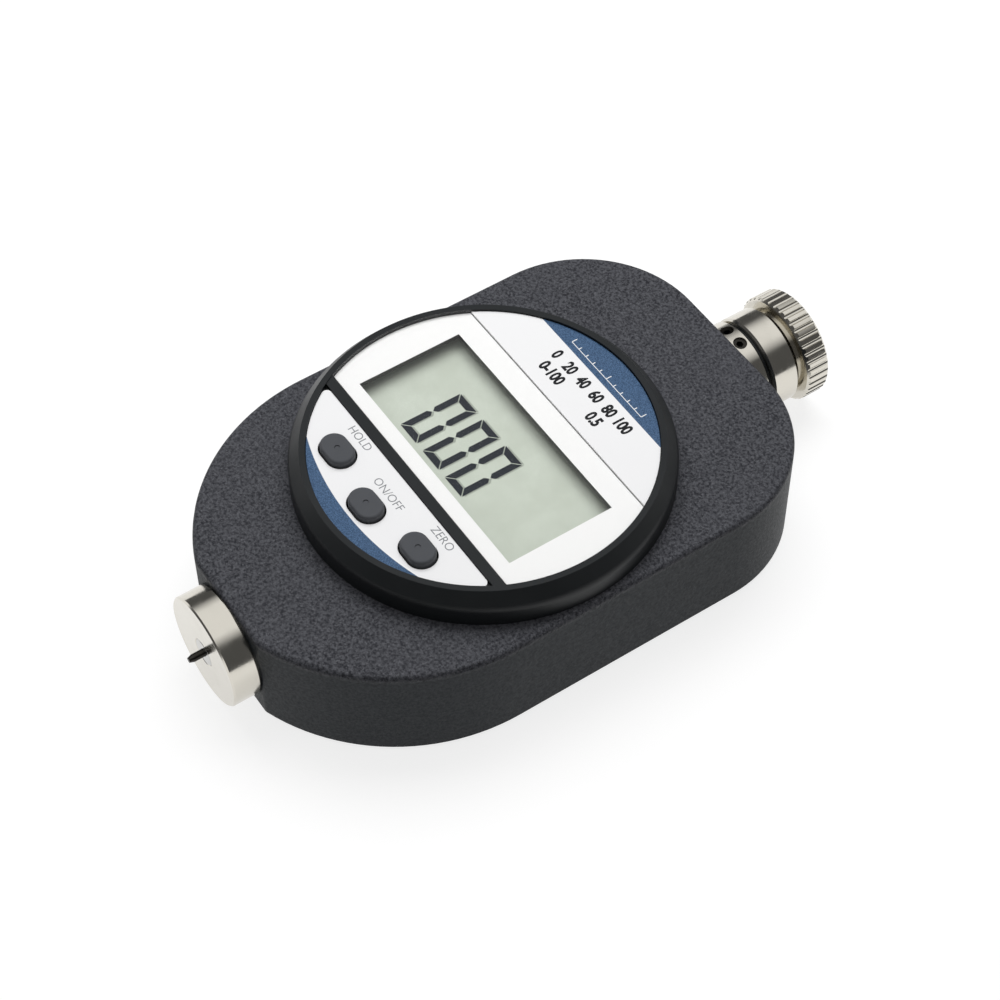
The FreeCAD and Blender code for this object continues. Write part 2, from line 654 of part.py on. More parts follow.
# A piece turned about an upright axis: points are radius and height
def turned_z(name, points, x=0, y=0):
    body = new_body(name, x, y)
    sketch = new_sketch(body, name + "_profile", "XZ_Plane")
    return turn(body, sketch, points)


def turn(body, sketch, points):
    draw(sketch, points)
    feature = body.newObject("PartDesign::Revolution", sketch.Name + "_turned")
    feature.Profile = sketch
    feature.ReferenceAxis = (sketch, ["V_Axis"])
    feature.Angle = 360
    doc.recompute()
    return body


# The body's outline, set in by a distance: straight sides, round corners at the knob end, long
# curves that run into a short flat at the foot end
def casing_outline(sketch, inset):
    side = half_width - inset
    top = knob_end - inset
    low = foot_end - inset
    corner = knob_corner - inset
    curve = foot_arc - inset
    corner_x = half_width - knob_corner
    corner_y = knob_end - knob_corner
    curve_x = foot_arc - half_width
    flat = half_chord(curve, low - foot_arc_start) - curve_x
    points = [
        (side, -foot_arc_start),
        (side, corner_y),
        (corner_x, top),
        (-corner_x, top),
        (-side, corner_y),
        (-side, -foot_arc_start),
        (-flat, -low),
        (flat, -low),
    ]
    arcs = {
        1: (corner, corner_x, corner_y),
        3: (corner, -corner_x, corner_y),
        5: (curve, curve_x, -foot_arc_start),
        7: (curve, -curve_x, -foot_arc_start),
    }
    draw(sketch, points, arcs)


def four_corners(x, y):
    return [(x, y), (-x, y), (-x, -y), (x, -y)]


# The bosses follow the inside of the side wall, which curves inwards at the foot end
def cover_screw_spots():
    knob_x = half_width - side_wall - boss_inset
    knob_y = knob_end - boss_knob_inset
    foot_y = boss_foot_inset - foot_end
    bend = half_chord(foot_arc - side_wall, foot_curve - boss_foot_inset)
    foot_x = bend - (foot_arc - half_width) - boss_inset
    return [(knob_x, knob_y), (-knob_x, knob_y), (-foot_x, foot_y), (foot_x, foot_y)]


COVER_SCREWS = cover_screw_spots()
DIAL_SCREWS = four_corners(dial_screw_x, dial_screw_y)


def reader_post_spots():
    x = reader_half - reader_post_side
    low = reader_start + reader_post_end
    high = reader_finish - reader_post_end
    return [(x, low), (-x, low), (-x, high), (x, high)]


READER_POSTS = reader_post_spots()
button_circle = rim_inner - button_row_inset
button_across = part_along_y(button_circle, button_angle)
button_along = -part_along_x(button_circle, button_angle)
BUTTONS = [
    ("button_hold", button_shift - button_across, button_along),
    ("button_on_off", button_shift, button_mid_inset - rim_inner),
    ("button_zero", button_shift + button_across, button_along),
]


def body_casing():
    body = new_body("casing_body")
    outline = new_sketch(body, "casing_outline", "XY_Plane")
    casing_outline(outline, 0)
    pad(body, outline, body_thick)

    def foot_corner_edge(edge):
        box = edge.BoundBox
        return box.ZLength > body_thick.value / 2 and abs(box.YMin + foot_end.value) < 0.01

    def front_edge(edge):
        return edge.BoundBox.ZMin > body_thick.value - 0.01

    def back_edge(edge):
        return edge.BoundBox.ZMax < 0.01

    dress_edges(body, "PartDesign::Fillet", "foot_corners", "Radius", foot_corner, foot_corner_edge)
    dress_edges(body, "PartDesign::Fillet", "front_edge", "Radius", front_edge_round, front_edge)
    dress_edges(body, "PartDesign::Chamfer", "back_edge", "Size", back_chamfer, back_edge)
    cavity = new_sketch(body, "cavity", "XY_Plane")
    casing_outline(cavity, side_wall)
    pocket(body, cavity, ceiling)
    rebate = new_sketch(body, "rebate", "XY_Plane")
    casing_outline(rebate, cover_edge)
    pocket(body, rebate, cover_thick)
    blocks = new_sketch(body, "end_blocks", "XY_Plane", cover_thick)
    wall_middle = side_wall - cover_edge
    draw_box(blocks, -end_block_half, wall_middle - foot_end, end_block_half,
             foot_block_depth - foot_end)
    draw_box(blocks, -end_block_half, knob_end - knob_block_depth, end_block_half,
             knob_end - wall_middle)
    pad(body, blocks, front_wall_middle - cover_thick)
    bosses = new_sketch(body, "screw_bosses", "XY_Plane", cover_thick)
    for x, y in COVER_SCREWS:
        draw_circle(bosses, x, y, boss_radius)
    pad(body, bosses, front_wall_middle - cover_thick)
    posts = new_sketch(body, "reader_posts", "XY_Plane", reader_top)
    for x, y in READER_POSTS:
        draw_circle(posts, x, y, reader_post_radius)
    pad(body, posts, front_wall_middle - reader_top)
    pilots = new_sketch(body, "cover_screw_holes", "XY_Plane", cover_thick)
    for x, y in COVER_SCREWS:
        draw_circle(pilots, x, y, cover_screw_radius + thread_gap)
    pocket(body, pilots, cover_screw_length + clearance_gap)
    reader_holes = new_sketch(body, "reader_screw_holes", "XY_Plane", reader_top)
    for x, y in READER_POSTS:
        draw_circle(reader_holes, x, y, reader_screw_radius + thread_gap)
    pocket(body, reader_holes, reader_screw_bite + clearance_gap)
    openings = new_sketch(body, "front_wall_openings", "XY_Plane", ceiling)
    for x, y in DIAL_SCREWS:
        draw_circle(openings, x, y, dial_screw_radius + clearance_gap)
    draw_box(openings, -(flex_half + flex_slot), flex_turn - flex_slot, flex_half + flex_slot,
             flex_turn + flex_thick + flex_slot)
    for near, far in contact_strips():
        draw_box(openings, cell_x - contact_half - contact_slot_gap, near - contact_slot_gap,
                 cell_x + contact_half + contact_slot_gap, far + contact_slot_gap)
    pocket(body, openings, front_wall)
    # The end bores are round and lie along Y
    foot_bore = rod("foot_bore", foot_stem_radius + stem_gap, (0, -foot_end, axis_height),
                    foot_block_depth, "y")
    knob_bore = rod("knob_bore", collar_stem_radius + stem_gap,
                    (0, knob_end - knob_block_depth, axis_height), knob_block_depth, "y")
    piece("body_casing", cut("casing_bored", body, [foot_bore, knob_bore]))


# The plus strip stands beside the cell, and the minus strip at the knob end of the leaf over it
def contact_strips():
    plus = cell_centre_y + cell_radius + contact_touch
    minus = cell_centre_y + leaf_after
    return [(plus, plus + contact_thick), (minus - contact_thick, minus)]


def screw_master(name, head, head_height, shank, length, sunk):
    if sunk:
        top = doc.addObject("Part::Cone", name + "_head")
        bind(top, "Radius1", head)
        bind(top, "Radius2", shank)
        bind(top, "Height", head_height)
    else:
        top = rod(name + "_head", head, (0, 0, 0), head_height)
    shaft = rod(name + "_shank", shank, (0, 0, 0), length)
    whole = fuse(name + "_blank", [top, shaft])
    reach = head * cross_share
    half = cross_width / 2
    slots = [
        block(name + "_slot_x", (-reach, -half, 0), (reach, half, cross_depth)),
        block(name + "_slot_y", (-half, -reach, 0), (half, reach, cross_depth)),
    ]
    return cut(name + "_screw", whole, slots)


def screws(name, master, spots, z):
    copies = [copy_of("%s_%d" % (name, number), master, x, y, z)
              for number, (x, y) in enumerate(spots, 1)]
    piece(name, group(name, copies))


def back_cover():
    body = new_body("cover_body")
    plate = new_sketch(body, "cover_plate", "XY_Plane")
    casing_outline(plate, cover_edge + cover_gap)
    pad(body, plate, cover_thick)
    ribs = new_sketch(body, "guide_ribs", "XY_Plane", cover_thick)
    near = guide_pin_radius + guide_gap
    far = near + guide_rib_width
    rib_end = slider_finish + travel
    draw_box(ribs, near, slider_start, far, rib_end)
    draw_box(ribs, -far, slider_start, -near, rib_end)
    pad(body, ribs, slider_base - guide_rib_gap - cover_thick)
    rim = new_sketch(body, "coin_cover_seat", "XY_Plane")
    draw_circle(rim, cell_x, cell_centre_y, coin_cover_radius + coin_cover_gap)
    pocket(body, rim, ledge_high)
    mouth = new_sketch(body, "coin_cell_mouth", "XY_Plane", ledge_high)
    draw_circle(mouth, cell_x, cell_centre_y, coin_spigot_radius + coin_cover_gap)
    pocket(body, mouth, cover_thick - ledge_high)
    tools = []
    for number, (x, y) in enumerate(COVER_SCREWS, 1):
        sink = doc.addObject("Part::Cone", "cover_sink_%d" % number)
        bind(sink, "Radius1", cover_screw_head + clearance_gap + head_recess)
        bind(sink, "Radius2", cover_screw_radius + clearance_gap)
        bind(sink, "Height", cover_screw_sink + head_recess)
        tools.append(place(sink, x, y, 0))
        hole = rod("cover_hole_%d" % number, cover_screw_radius + clearance_gap, (x, y, 0), cover_thick)
        tools.append(hole)
    # The lugs of the coin cover drop in through two notches, a quarter turn from where they lock
    for number, turn_angle in enumerate((90.0, 270.0), 1):
        notch = lug("cover_notch_%d" % number, lug_reach + lug_gap, lug_angle + notch_room, turn_angle)
        bind(notch, "Height", cover_thick)
        tools.append(place(notch, cell_x, cell_centre_y, ledge_high, notch.Placement.Rotation))
    piece("back_cover", cut("back_cover_holed", body, tools))
    master = screw_master("cover_screw", cover_screw_head, cover_screw_sink, cover_screw_radius,
                          cover_screw_length, True)
    screws("back_cover_screws", master, COVER_SCREWS, head_recess)


# A wedge of a disc, centred on a direction in degrees from +X
def lug(name, reach, angle, direction):
    wedge = doc.addObject("Part::Cylinder", name)
    bind(wedge, "Radius", coin_spigot_radius + reach)
    bind(wedge, "Angle", angle)
    turned = direction - as_size(angle).value / 2
    rotation = FreeCAD.Rotation(FreeCAD.Vector(0, 0, 1), turned)
    wedge.Placement = FreeCAD.Placement(FreeCAD.Vector(0, 0, 0), rotation)
    return wedge


def coin_cover():
    rim_top = head_recess + coin_cover_rim
    spigot_top = lug_low + lug_thick
    disc = rod("coin_cover_rim_disc", coin_cover_radius, (cell_x, cell_centre_y, head_recess),
               coin_cover_rim)
    spigot = rod("coin_cover_spigot", coin_spigot_radius, (cell_x, cell_centre_y, head_recess),
                 spigot_top - head_recess)
    lugs = []
    for number, direction in enumerate((0.0, 180.0), 1):
        wedge = lug("coin_cover_lug_%d" % number, lug_reach, lug_angle, direction)
        bind(wedge, "Height", lug_thick)
        lugs.append(place(wedge, cell_x, cell_centre_y, lug_low, wedge.Placement.Rotation))
    blank = fuse("coin_cover_blank", [disc, spigot] + lugs)
    half_length = coin_slot_length / 2
    half_slot = coin_slot_width / 2
    slot = block("coin_slot", (cell_x - half_length, cell_centre_y - half_slot, head_recess),
                 (cell_x + half_length, cell_centre_y + half_slot, head_recess + coin_slot_depth))
    piece("battery_cover", cut("battery_cover_slotted", blank, [slot]))
    seal_radius = coin_spigot_radius + seal_width
    seal = rod("seal_disc", seal_radius, (cell_x, cell_centre_y, rim_top), seal_thick)
    seal_hole = rod("seal_hole", coin_spigot_radius + thread_gap, (cell_x, cell_centre_y, rim_top),
                    seal_thick)
    piece("battery_cover_seal", cut("battery_cover_seal_ring", seal, [seal_hole]))


def coin_cell():
    step = cell_low + cell_thick - cell_can_step
    piece("battery", turned_z("battery", [
        (0, cell_low),
        (cell_radius, cell_low),
        (cell_radius, step),
        (cell_radius - cell_can_step, cell_top),
        (0, cell_top),
    ], cell_x, cell_centre_y))
    roof_low = cell_top + holder_room
    roof_top = roof_low + holder_roof
    outer = rod("holder_blank", holder_inner + holder_wall, (cell_x, cell_centre_y, cover_thick),
                roof_top - cover_thick)
    inner = rod("holder_inside", holder_inner, (cell_x, cell_centre_y, cover_thick),
                roof_low - cover_thick)
    lug_room = rod("holder_lug_room", coin_spigot_radius + lug_reach + lug_gap,
                   (cell_x, cell_centre_y, cover_thick), lug_gap + lug_thick + lug_gap)
    slots = []
    for number, (near, far) in enumerate(contact_strips(), 1):
        slots.append(block("holder_slot_%d" % number,
                           (cell_x - contact_half - clearance_gap, near - clearance_gap, cell_top),
                           (cell_x + contact_half + clearance_gap, far + clearance_gap, roof_top)))
    piece("battery_holder", cut("battery_holder_hollow", outer, [inner, lug_room] + slots))
    (plus_near, plus_far), (minus_near, minus_far) = contact_strips()
    contact_top = board_low - contact_touch
    plus = block("plus_strip", (cell_x - contact_half, plus_near, cell_low + cell_can_step),
                 (cell_x + contact_half, plus_far, contact_top))
    piece("battery_contact_plus", plus)
    leaf_low = cell_top + contact_touch
    leaf = block("minus_leaf", (cell_x - contact_half, cell_centre_y - leaf_before, leaf_low),
                 (cell_x + contact_half, minus_far, leaf_low + contact_thick))
    riser = block("minus_riser", (cell_x - contact_half, minus_near, leaf_low),
                  (cell_x + contact_half, minus_far, contact_top))
    piece("battery_contact_minus", fuse("minus_contact", [leaf, riser]))


# The part of a disc between two straight lines across Y
def chord_band(sketch, radius, low_y, high_y):
    low_x = half_chord(radius, low_y)
    high_x = half_chord(radius, high_y)
    points = [(low_x, low_y), (high_x, high_y), (-high_x, high_y), (-low_x, low_y)]
    draw(sketch, points, {0: (radius, 0, 0), 2: (radius, 0, 0)})


# The circle where the sloping band outside the rim meets the wall
def slope_foot(edge):
    box = edge.BoundBox
    return (abs(box.XMax - dial_radius.value) < 0.001 and box.ZLength < 0.001
            and abs(box.ZMax - (dial_top - rim_drop).value) < 0.001)


def dial_housing():
    body = turned_z("dial_housing", [
        (0, deck_low),
        (dial_wall_radius, deck_low),
        (dial_wall_radius, body_thick),
        (dial_radius, body_thick),
        (dial_radius, dial_top - rim_drop),
        (rim_outer, dial_top),
        (rim_inner, dial_top),
        (rim_inner, deck_top),
        (0, deck_top),
    ])
    dress_edges(body, "PartDesign::Fillet", "rim_rounding", "Radius", rim_round, slope_foot)
    rib_root = deck_top - deck_depth / 2
    rib = new_sketch(body, "rib", "XY_Plane", rib_root)
    rib_edge = window_low_edge + window_gap
    chord_band(rib, rim_inner + window_gap, -(rib_edge + rib_width), -rib_edge)
    pad(body, rib, dial_top - rib_below_rim - rib_root)
    seat = new_sketch(body, "window_seat", "XY_Plane", band_floor)
    chord_band(seat, rim_inner, -rib_edge, window_top_edge + window_gap)
    pocket(body, seat, band_depth - deck_depth)
    opening = new_sketch(body, "display_opening", "XY_Plane", deck_low)
    draw_box(opening, -(lcd_half_x + lcd_gap), -(lcd_half_y + lcd_gap), lcd_half_x + lcd_gap,
             lcd_half_y + lcd_gap)
    pocket(body, opening, band_floor - deck_low)
    holes = new_sketch(body, "button_holes", "XY_Plane", deck_low)
    for _, x, y in BUTTONS:
        draw_slot(holes, x, y, button_stretch, button_radius + button_gap)
    pocket(body, holes, deck_thick)
    shoulders = new_sketch(body, "dial_bosses", "XY_Plane", board_top)
    for x, y in DIAL_SCREWS:
        draw_circle(shoulders, x, y, dial_boss_radius)
    for x in (post_x, -post_x):
        draw_circle(shoulders, x, 0, post_radius)
    pad(body, shoulders, deck_low + shoulder_root - board_top)
    spigots = new_sketch(body, "dial_spigots", "XY_Plane", body_thick)
    for x, y in DIAL_SCREWS:
        draw_circle(spigots, x, y, dial_spigot_radius)
    pad(body, spigots, board_top + spigot_root - body_thick)
    pilots = new_sketch(body, "dial_screw_holes", "XY_Plane", body_thick)
    for x, y in DIAL_SCREWS:
        draw_circle(pilots, x, y, dial_screw_radius + thread_gap)
    pocket(body, pilots, dial_screw_bite + clearance_gap)
    post_holes = new_sketch(body, "board_screw_holes", "XY_Plane", board_top)
    for x in (post_x, -post_x):
        draw_circle(post_holes, x, 0, board_screw_radius + thread_gap)
    pocket(body, post_holes, board_screw_length - board_thick + clearance_gap)
    piece("dial_housing", body)
    master = screw_master("dial_screw", dial_screw_head, dial_screw_head_height, dial_screw_radius,
                          dial_screw_head_height + front_wall + dial_screw_bite, False)
    screws("dial_screws", master, DIAL_SCREWS, ceiling - dial_screw_head_height)


def window_and_labels():
    seat_radius_here = rim_inner - window_gap
    window = new_body("window_plate")
    window_outline = new_sketch(window, "window_outline", "XY_Plane", mask_top + window_rest)
    chord_band(window_outline, seat_radius_here, -window_low_edge, window_top_edge)
    pad(window, window_outline, window_thick)
    piece("window_plate", window)
    mask = new_body("display_mask")
    mask_outline = new_sketch(mask, "mask_outline", "XY_Plane", band_floor)
    chord_band(mask_outline, seat_radius_here, -window_low_edge, window_top_edge)
    mask_half_x = lcd_half_x - mask_lap_x
    mask_half_y = lcd_half_y - mask_lap_y
    draw_box(mask_outline, -mask_half_x, -mask_half_y, mask_half_x, mask_half_y)
    pad(mask, mask_outline, mask_thick)
    piece("display_mask", mask)
    upper = new_body("upper_label")
    upper_outline = new_sketch(upper, "upper_label_outline", "XY_Plane", deck_top)
    edge = window_top_edge + label_gap
    reach = half_chord(seat_radius_here, edge)
    draw(upper_outline, [(reach, edge), (-reach, edge)], {0: (seat_radius_here, 0, 0)})
    pad(upper, upper_outline, label_thick)
    piece("upper_label", upper)
    lower = new_body("lower_label")
    lower_outline = new_sketch(lower, "lower_label_outline", "XY_Plane", deck_top)
    edge = -(window_low_edge + window_gap + rib_width + window_gap)
    reach = half_chord(seat_radius_here, edge)
    draw(lower_outline, [(-reach, edge), (reach, edge)], {0: (seat_radius_here, 0, 0)})
    for _, x, y in BUTTONS:
        draw_slot(lower_outline, x, y, button_stretch, button_radius + button_label_gap)
    pad(lower, lower_outline, label_thick)
    round_label(lower, edge)
    piece("lower_label", lower)


def display():
    sheet_x = lcd_half_x - polariser_edge
    sheet_y = lcd_half_y - polariser_edge
    piece("lcd_polariser", block("front_sheet", (-sheet_x, -sheet_y, glass_top),
                                 (sheet_x, sheet_y, lcd_front)))
    piece("lcd_glass", block("glass_cell", (-lcd_half_x, -lcd_half_y, glass_low),
                             (lcd_half_x, lcd_half_y, glass_top)))
    strip_far = lcd_half_y - strip_inset
    strip_near = strip_far - strip_width
    back_y = strip_near - strip_inset
    piece("lcd_reflector", block("rear_sheet", (-sheet_x, -back_y, glass_low - polariser_thick),
                                 (sheet_x, back_y, glass_low)))
    strip_half = lcd_half_x - strip_end
    strips = [
        block("strip_knob_side", (-strip_half, strip_near, board_top),
              (strip_half, strip_far, glass_low)),
        block("strip_foot_side", (-strip_half, -strip_far, board_top),
              (strip_half, -strip_near, glass_low)),
    ]
    piece("zebra_strips", group("zebra_strip_pair", strips))


def main_board():
    disc = rod("board_disc", board_radius, (0, 0, board_low), board_thick)
    tools = []
    for number, (x, y) in enumerate(DIAL_SCREWS, 1):
        tools.append(rod("board_notch_%d" % number, dial_spigot_radius + spigot_gap, (x, y, board_low),
                         board_thick))
    spots = [(post_x, 0), (-post_x, 0)]
    for number, (x, y) in enumerate(spots, 1):
        hole_radius = board_screw_radius + clearance_gap / 2
        tools.append(rod("board_hole_%d" % number, hole_radius, (x, y, board_low), board_thick))
        sink = doc.addObject("Part::Cone", "board_sink_%d" % number)
        bind(sink, "Radius1", board_screw_head + clearance_gap / 2)
        bind(sink, "Radius2", hole_radius)
        bind(sink, "Height", board_screw_sink)
        tools.append(place(sink, x, y, board_low))
    piece("main_board", cut("main_board_drilled", disc, tools))
    master = screw_master("board_screw", board_screw_head, board_screw_sink, board_screw_radius,
                          board_screw_length, True)
    screws("board_screws", master, spots, board_low)
    edge = chip_height / 2
    piece("controller_chip", turned_z("controller_chip", [
        (0, board_top),
        (chip_radius, board_top),
        (chip_radius, board_top + edge),
        (chip_radius - edge, board_top + chip_height),
        (0, board_top + chip_height),
    ], chip_x, 0))
    parts = []
    for number in range(int(part_count.value)):
        start = part_start_x + part_pitch * number
        parts.append(block("component_%d" % (number + 1), (start, -part_width / 2, board_top),
                           (start + part_length, part_width / 2, board_top + part_thick)))
    piece("board_components", group("component_row", parts))


def buttons():
    cap_top = dial_top + button_above_rim
    stem_low = board_top + switch_floor + dome_height + button_travel + button_stem_gap

    def top_edge(edge):
        return edge.BoundBox.ZMin > (cap_top - button_round).value

    for name, x, y in BUTTONS:
        cap = turned_z(name, [
            (0, stem_low),
            (button_stem, stem_low),
            (button_stem, flange_low),
            (button_flange, flange_low),
            (button_flange, flange_top),
            (0, flange_top),
        ], x, y)
        outline = new_sketch(cap, name + "_outline", "XY_Plane", flange_top)
        draw_slot(outline, 0, 0, button_stretch, button_radius)
        pad(cap, outline, cap_top - flange_top)
        dress_edges(cap, "PartDesign::Fillet", name + "_edge", "Radius", button_round, top_edge)
        dimple = new_sketch(cap, name + "_dimple", "XY_Plane", cap_top - dimple_depth)
        draw_circle(dimple, 0, 0, dimple_radius)
        pocket(cap, dimple, dimple_depth)
        piece(name, cap)
    switches = []
    domes = []
    for name, x, y in BUTTONS:
        frame = block(name + "_switch_frame", (x - switch_half, y - switch_half, board_top),
                      (x + switch_half, y + switch_half, switch_top))
        well_low = board_top + switch_floor
        well = rod(name + "_switch_well", switch_well, (x, y, well_low), switch_top - well_low)
        switches.append(cut(name + "_switch", frame, [well]))
        dome = doc.addObject("Part::Cone", name + "_dome")
        bind(dome, "Radius1", dome_radius)
        bind(dome, "Radius2", dome_crown)
        bind(dome, "Height", dome_height)
        domes.append(place(dome, x, y, well_low))
    piece("button_switches", group("switch_set", switches))
    piece("snap_domes", group("dome_set", domes))


def foot_and_indenter():
    stem_end = foot_stem_length - foot_end
    neck_radius = foot_radius - foot_neck_step
    piece("presser_foot", turned_y("presser_foot", [
        (bush_radius, foot_face + bush_edge),
        (bush_radius + bush_edge, foot_face),
        (foot_radius - foot_edge, foot_face),
        (foot_radius, foot_face + foot_edge),
        (foot_radius, -(foot_end + foot_neck)),
        (neck_radius, -(foot_end + foot_neck)),
        (neck_radius, -foot_end),
        (foot_stem_radius, -foot_end),
        (foot_stem_radius, stem_end),
        (bush_radius, stem_end),
    ]))
    bush_outer = bush_radius - bush_gap
    bush_bore = nose_radius + running_gap
    piece("foot_guide_bush", turned_y("foot_guide_bush", [
        (pin_radius + pin_gap, foot_face),
        (bush_outer - bush_edge, foot_face),
        (bush_outer, foot_face + bush_edge),
        (bush_outer, bush_end),
        (bush_bore, bush_end),
        (bush_bore, foot_face + bush_lip),
        (pin_radius + pin_gap, foot_face + bush_lip),
    ]))
    tip = foot_face - pin_stand
    nose = foot_face + bush_lip + nose_setback
    pin_end = nose + pin_root
    piece("indenter", turned_y("indenter", [
        (0, tip),
        (pin_tip_radius, tip),
        (pin_radius, tip + pin_cone_length),
        (pin_radius, pin_end),
        (0, pin_end),
    ]))
    socket = pin_radius + bush_gap
    piece("spindle", turned_y("spindle", [
        (socket, nose),
        (nose_radius, nose),
        (nose_radius, bush_end + stop_gap),
        (spindle_radius, bush_end + stop_gap),
        (spindle_radius, spindle_shoulder),
        (tail_radius, spindle_shoulder),
        (tail_radius, tail_end),
        (0, tail_end),
        (0, pin_end + bush_gap),
        (socket, pin_end + bush_gap),
    ]))


def slider():
    middle = slider_start + slider_length / 2
    saddle = block("slider_blank", (-slider_half, slider_start, slider_base),
                   (slider_half, slider_finish, slider_top))
    bore = rod("slider_bore", spindle_radius + slider_bore_gap, (0, slider_start, axis_height),
               slider_length, "y")
    screw_hole = rod("slider_screw_hole", slider_screw_radius + thread_gap,
                     (-slider_half, middle, axis_height), slider_half, "x")
    pin_hole = rod("guide_pin_hole", guide_pin_radius + bush_gap, (0, middle, slider_base), guide_pin_in)
    piece("slider_block", cut("slider_block_bored", saddle, [bore, screw_hole, pin_hole]))
    screw_length = slider_half - spindle_radius - clearance_gap
    set_screw = rod("slider_screw_blank", slider_screw_radius, (-slider_half, middle, axis_height),
                    screw_length, "x")
    half = cross_width / 2
    slot = block("slider_screw_slot", (-slider_half, middle - slider_screw_radius, axis_height - half),
                 (cross_depth - slider_half, middle + slider_screw_radius, axis_height + half))
    piece("slider_set_screw", cut("slider_screw_slotted", set_screw, [slot]))
    pin_low = slider_base + guide_pin_in - guide_pin_length
    piece("guide_pin", rod("guide_pin_rod", guide_pin_radius, (0, middle, pin_low), guide_pin_length))
    piece("scale_strip", block("scale_strip_blank",
                               (-slider_half, slider_start - scale_overhang, slider_top),
                               (slider_half, slider_finish + scale_overhang, scale_top)))


def reading_head():
    board = block("reader_blank", (-reader_half, reader_start, reader_low),
                  (reader_half, reader_finish, reader_top))
    holes = []
    for number, (x, y) in enumerate(READER_POSTS, 1):
        holes.append(rod("reader_hole_%d" % number, reader_screw_radius + clearance_gap,
                         (x, y, reader_low), reader_thick))
    piece("reader_board", cut("reader_board_drilled", board, holes))
    master = screw_master("reader_screw", reader_screw_head, reader_screw_head_height,
                          reader_screw_radius,
                          reader_screw_head_height + reader_thick + reader_screw_bite, False)
    screws("reader_board_screws", master, READER_POSTS, reader_low - reader_screw_head_height)
    # The flat cable lies on the board, runs towards the foot and turns up through the front wall
    body = new_body("reader_flex", x=-flex_half)
    side = new_sketch(body, "flex_side", "YZ_Plane")
    start = reader_start + flex_lap
    draw(side, [
        (start, reader_top),
        (start, reader_top + flex_thick),
        (flex_turn + flex_bend + flex_thick, reader_top + flex_thick),
        (flex_turn + flex_thick, reader_top + flex_thick + flex_bend),
        (flex_turn + flex_thick, board_low - contact_touch),
        (flex_turn, board_low - contact_touch),
        (flex_turn, reader_top + flex_bend),
        (flex_turn + flex_bend, reader_top),
    ])
    pad(body, side, flex_half * 2)
    piece("reader_flex", body)


def spring_and_adjuster():
    seat_end = spindle_shoulder + seat_thick
    piece("spring_seat", turned_y("spring_seat", [
        (tail_radius + bush_gap, spindle_shoulder),
        (seat_radius, spindle_shoulder),
        (seat_radius, seat_end),
        (tail_radius + bush_gap, seat_end),
    ]))
    # The wire's centre line starts and stops one wire radius inside the spring's ends
    coil_start = seat_end + spring_end_gap + spring_wire
    coil_length = adjuster_start - spring_end_gap - spring_wire - coil_start
    helix = doc.addObject("Part::Helix", "spring_line")
    bind(helix, "Pitch", coil_length / spring_turns)
    bind(helix, "Height", coil_length)
    bind(helix, "Radius", spring_mean)
    wire = doc.addObject("Part::Circle", "spring_section")
    bind(wire, "Radius", spring_wire)
    place(wire, spring_mean, 0, 0, TURNS["y"])
    coil = doc.addObject("Part::Sweep", "spring_coil")
    coil.Sections = [wire]
    coil.Spine = (helix, ["Edge1"])
    coil.Solid = True
    coil.Frenet = True
    piece("calibrated_spring", place(coil, 0, coil_start, axis_height, TURNS["y"]))
    adjuster_end = adjuster_start + adjuster_length
    bore_end = adjuster_start + upper_bush_length
    blank = turned_y("adjuster_blank", [
        (adjuster_bore, adjuster_start),
        (adjuster_radius, adjuster_start),
        (adjuster_radius, adjuster_end),
        (0, adjuster_end),
        (0, bore_end),
        (adjuster_bore, bore_end),
    ])
    half = adjuster_slot / 2
    slot = block("adjuster_slot_cut", (-adjuster_radius, adjuster_end - adjuster_slot, axis_height - half),
                 (adjuster_radius, adjuster_end, axis_height + half))
    piece("spring_adjuster", cut("spring_adjuster_slotted", blank, [slot]))
    piece("upper_guide_bush", turned_y("upper_guide_bush", [
        (tail_radius + running_gap, adjuster_start),
        (adjuster_bore - bush_gap, adjuster_start),
        (adjuster_bore - bush_gap, bore_end),
        (tail_radius + running_gap, bore_end),
    ]))
    plug = rod("lock_plug_blank", adjuster_radius, (0, adjuster_end, axis_height), lock_plug_length, "y")
    hexagon = doc.addObject("Part::Prism", "lock_plug_socket")
    hexagon.Polygon = 6
    bind(hexagon, "Circumradius", lock_plug_hex)
    bind(hexagon, "Height", lock_plug_length)
    place(hexagon, 0, adjuster_end, axis_height, TURNS["y"])
    piece("adjuster_lock_plug", cut("lock_plug_holed", plug, [hexagon]))


def grub_angles():
    return [FreeCAD.Rotation(FreeCAD.Vector(0, 1, 0), angle.value) for angle in (grub_first, grub_second)]


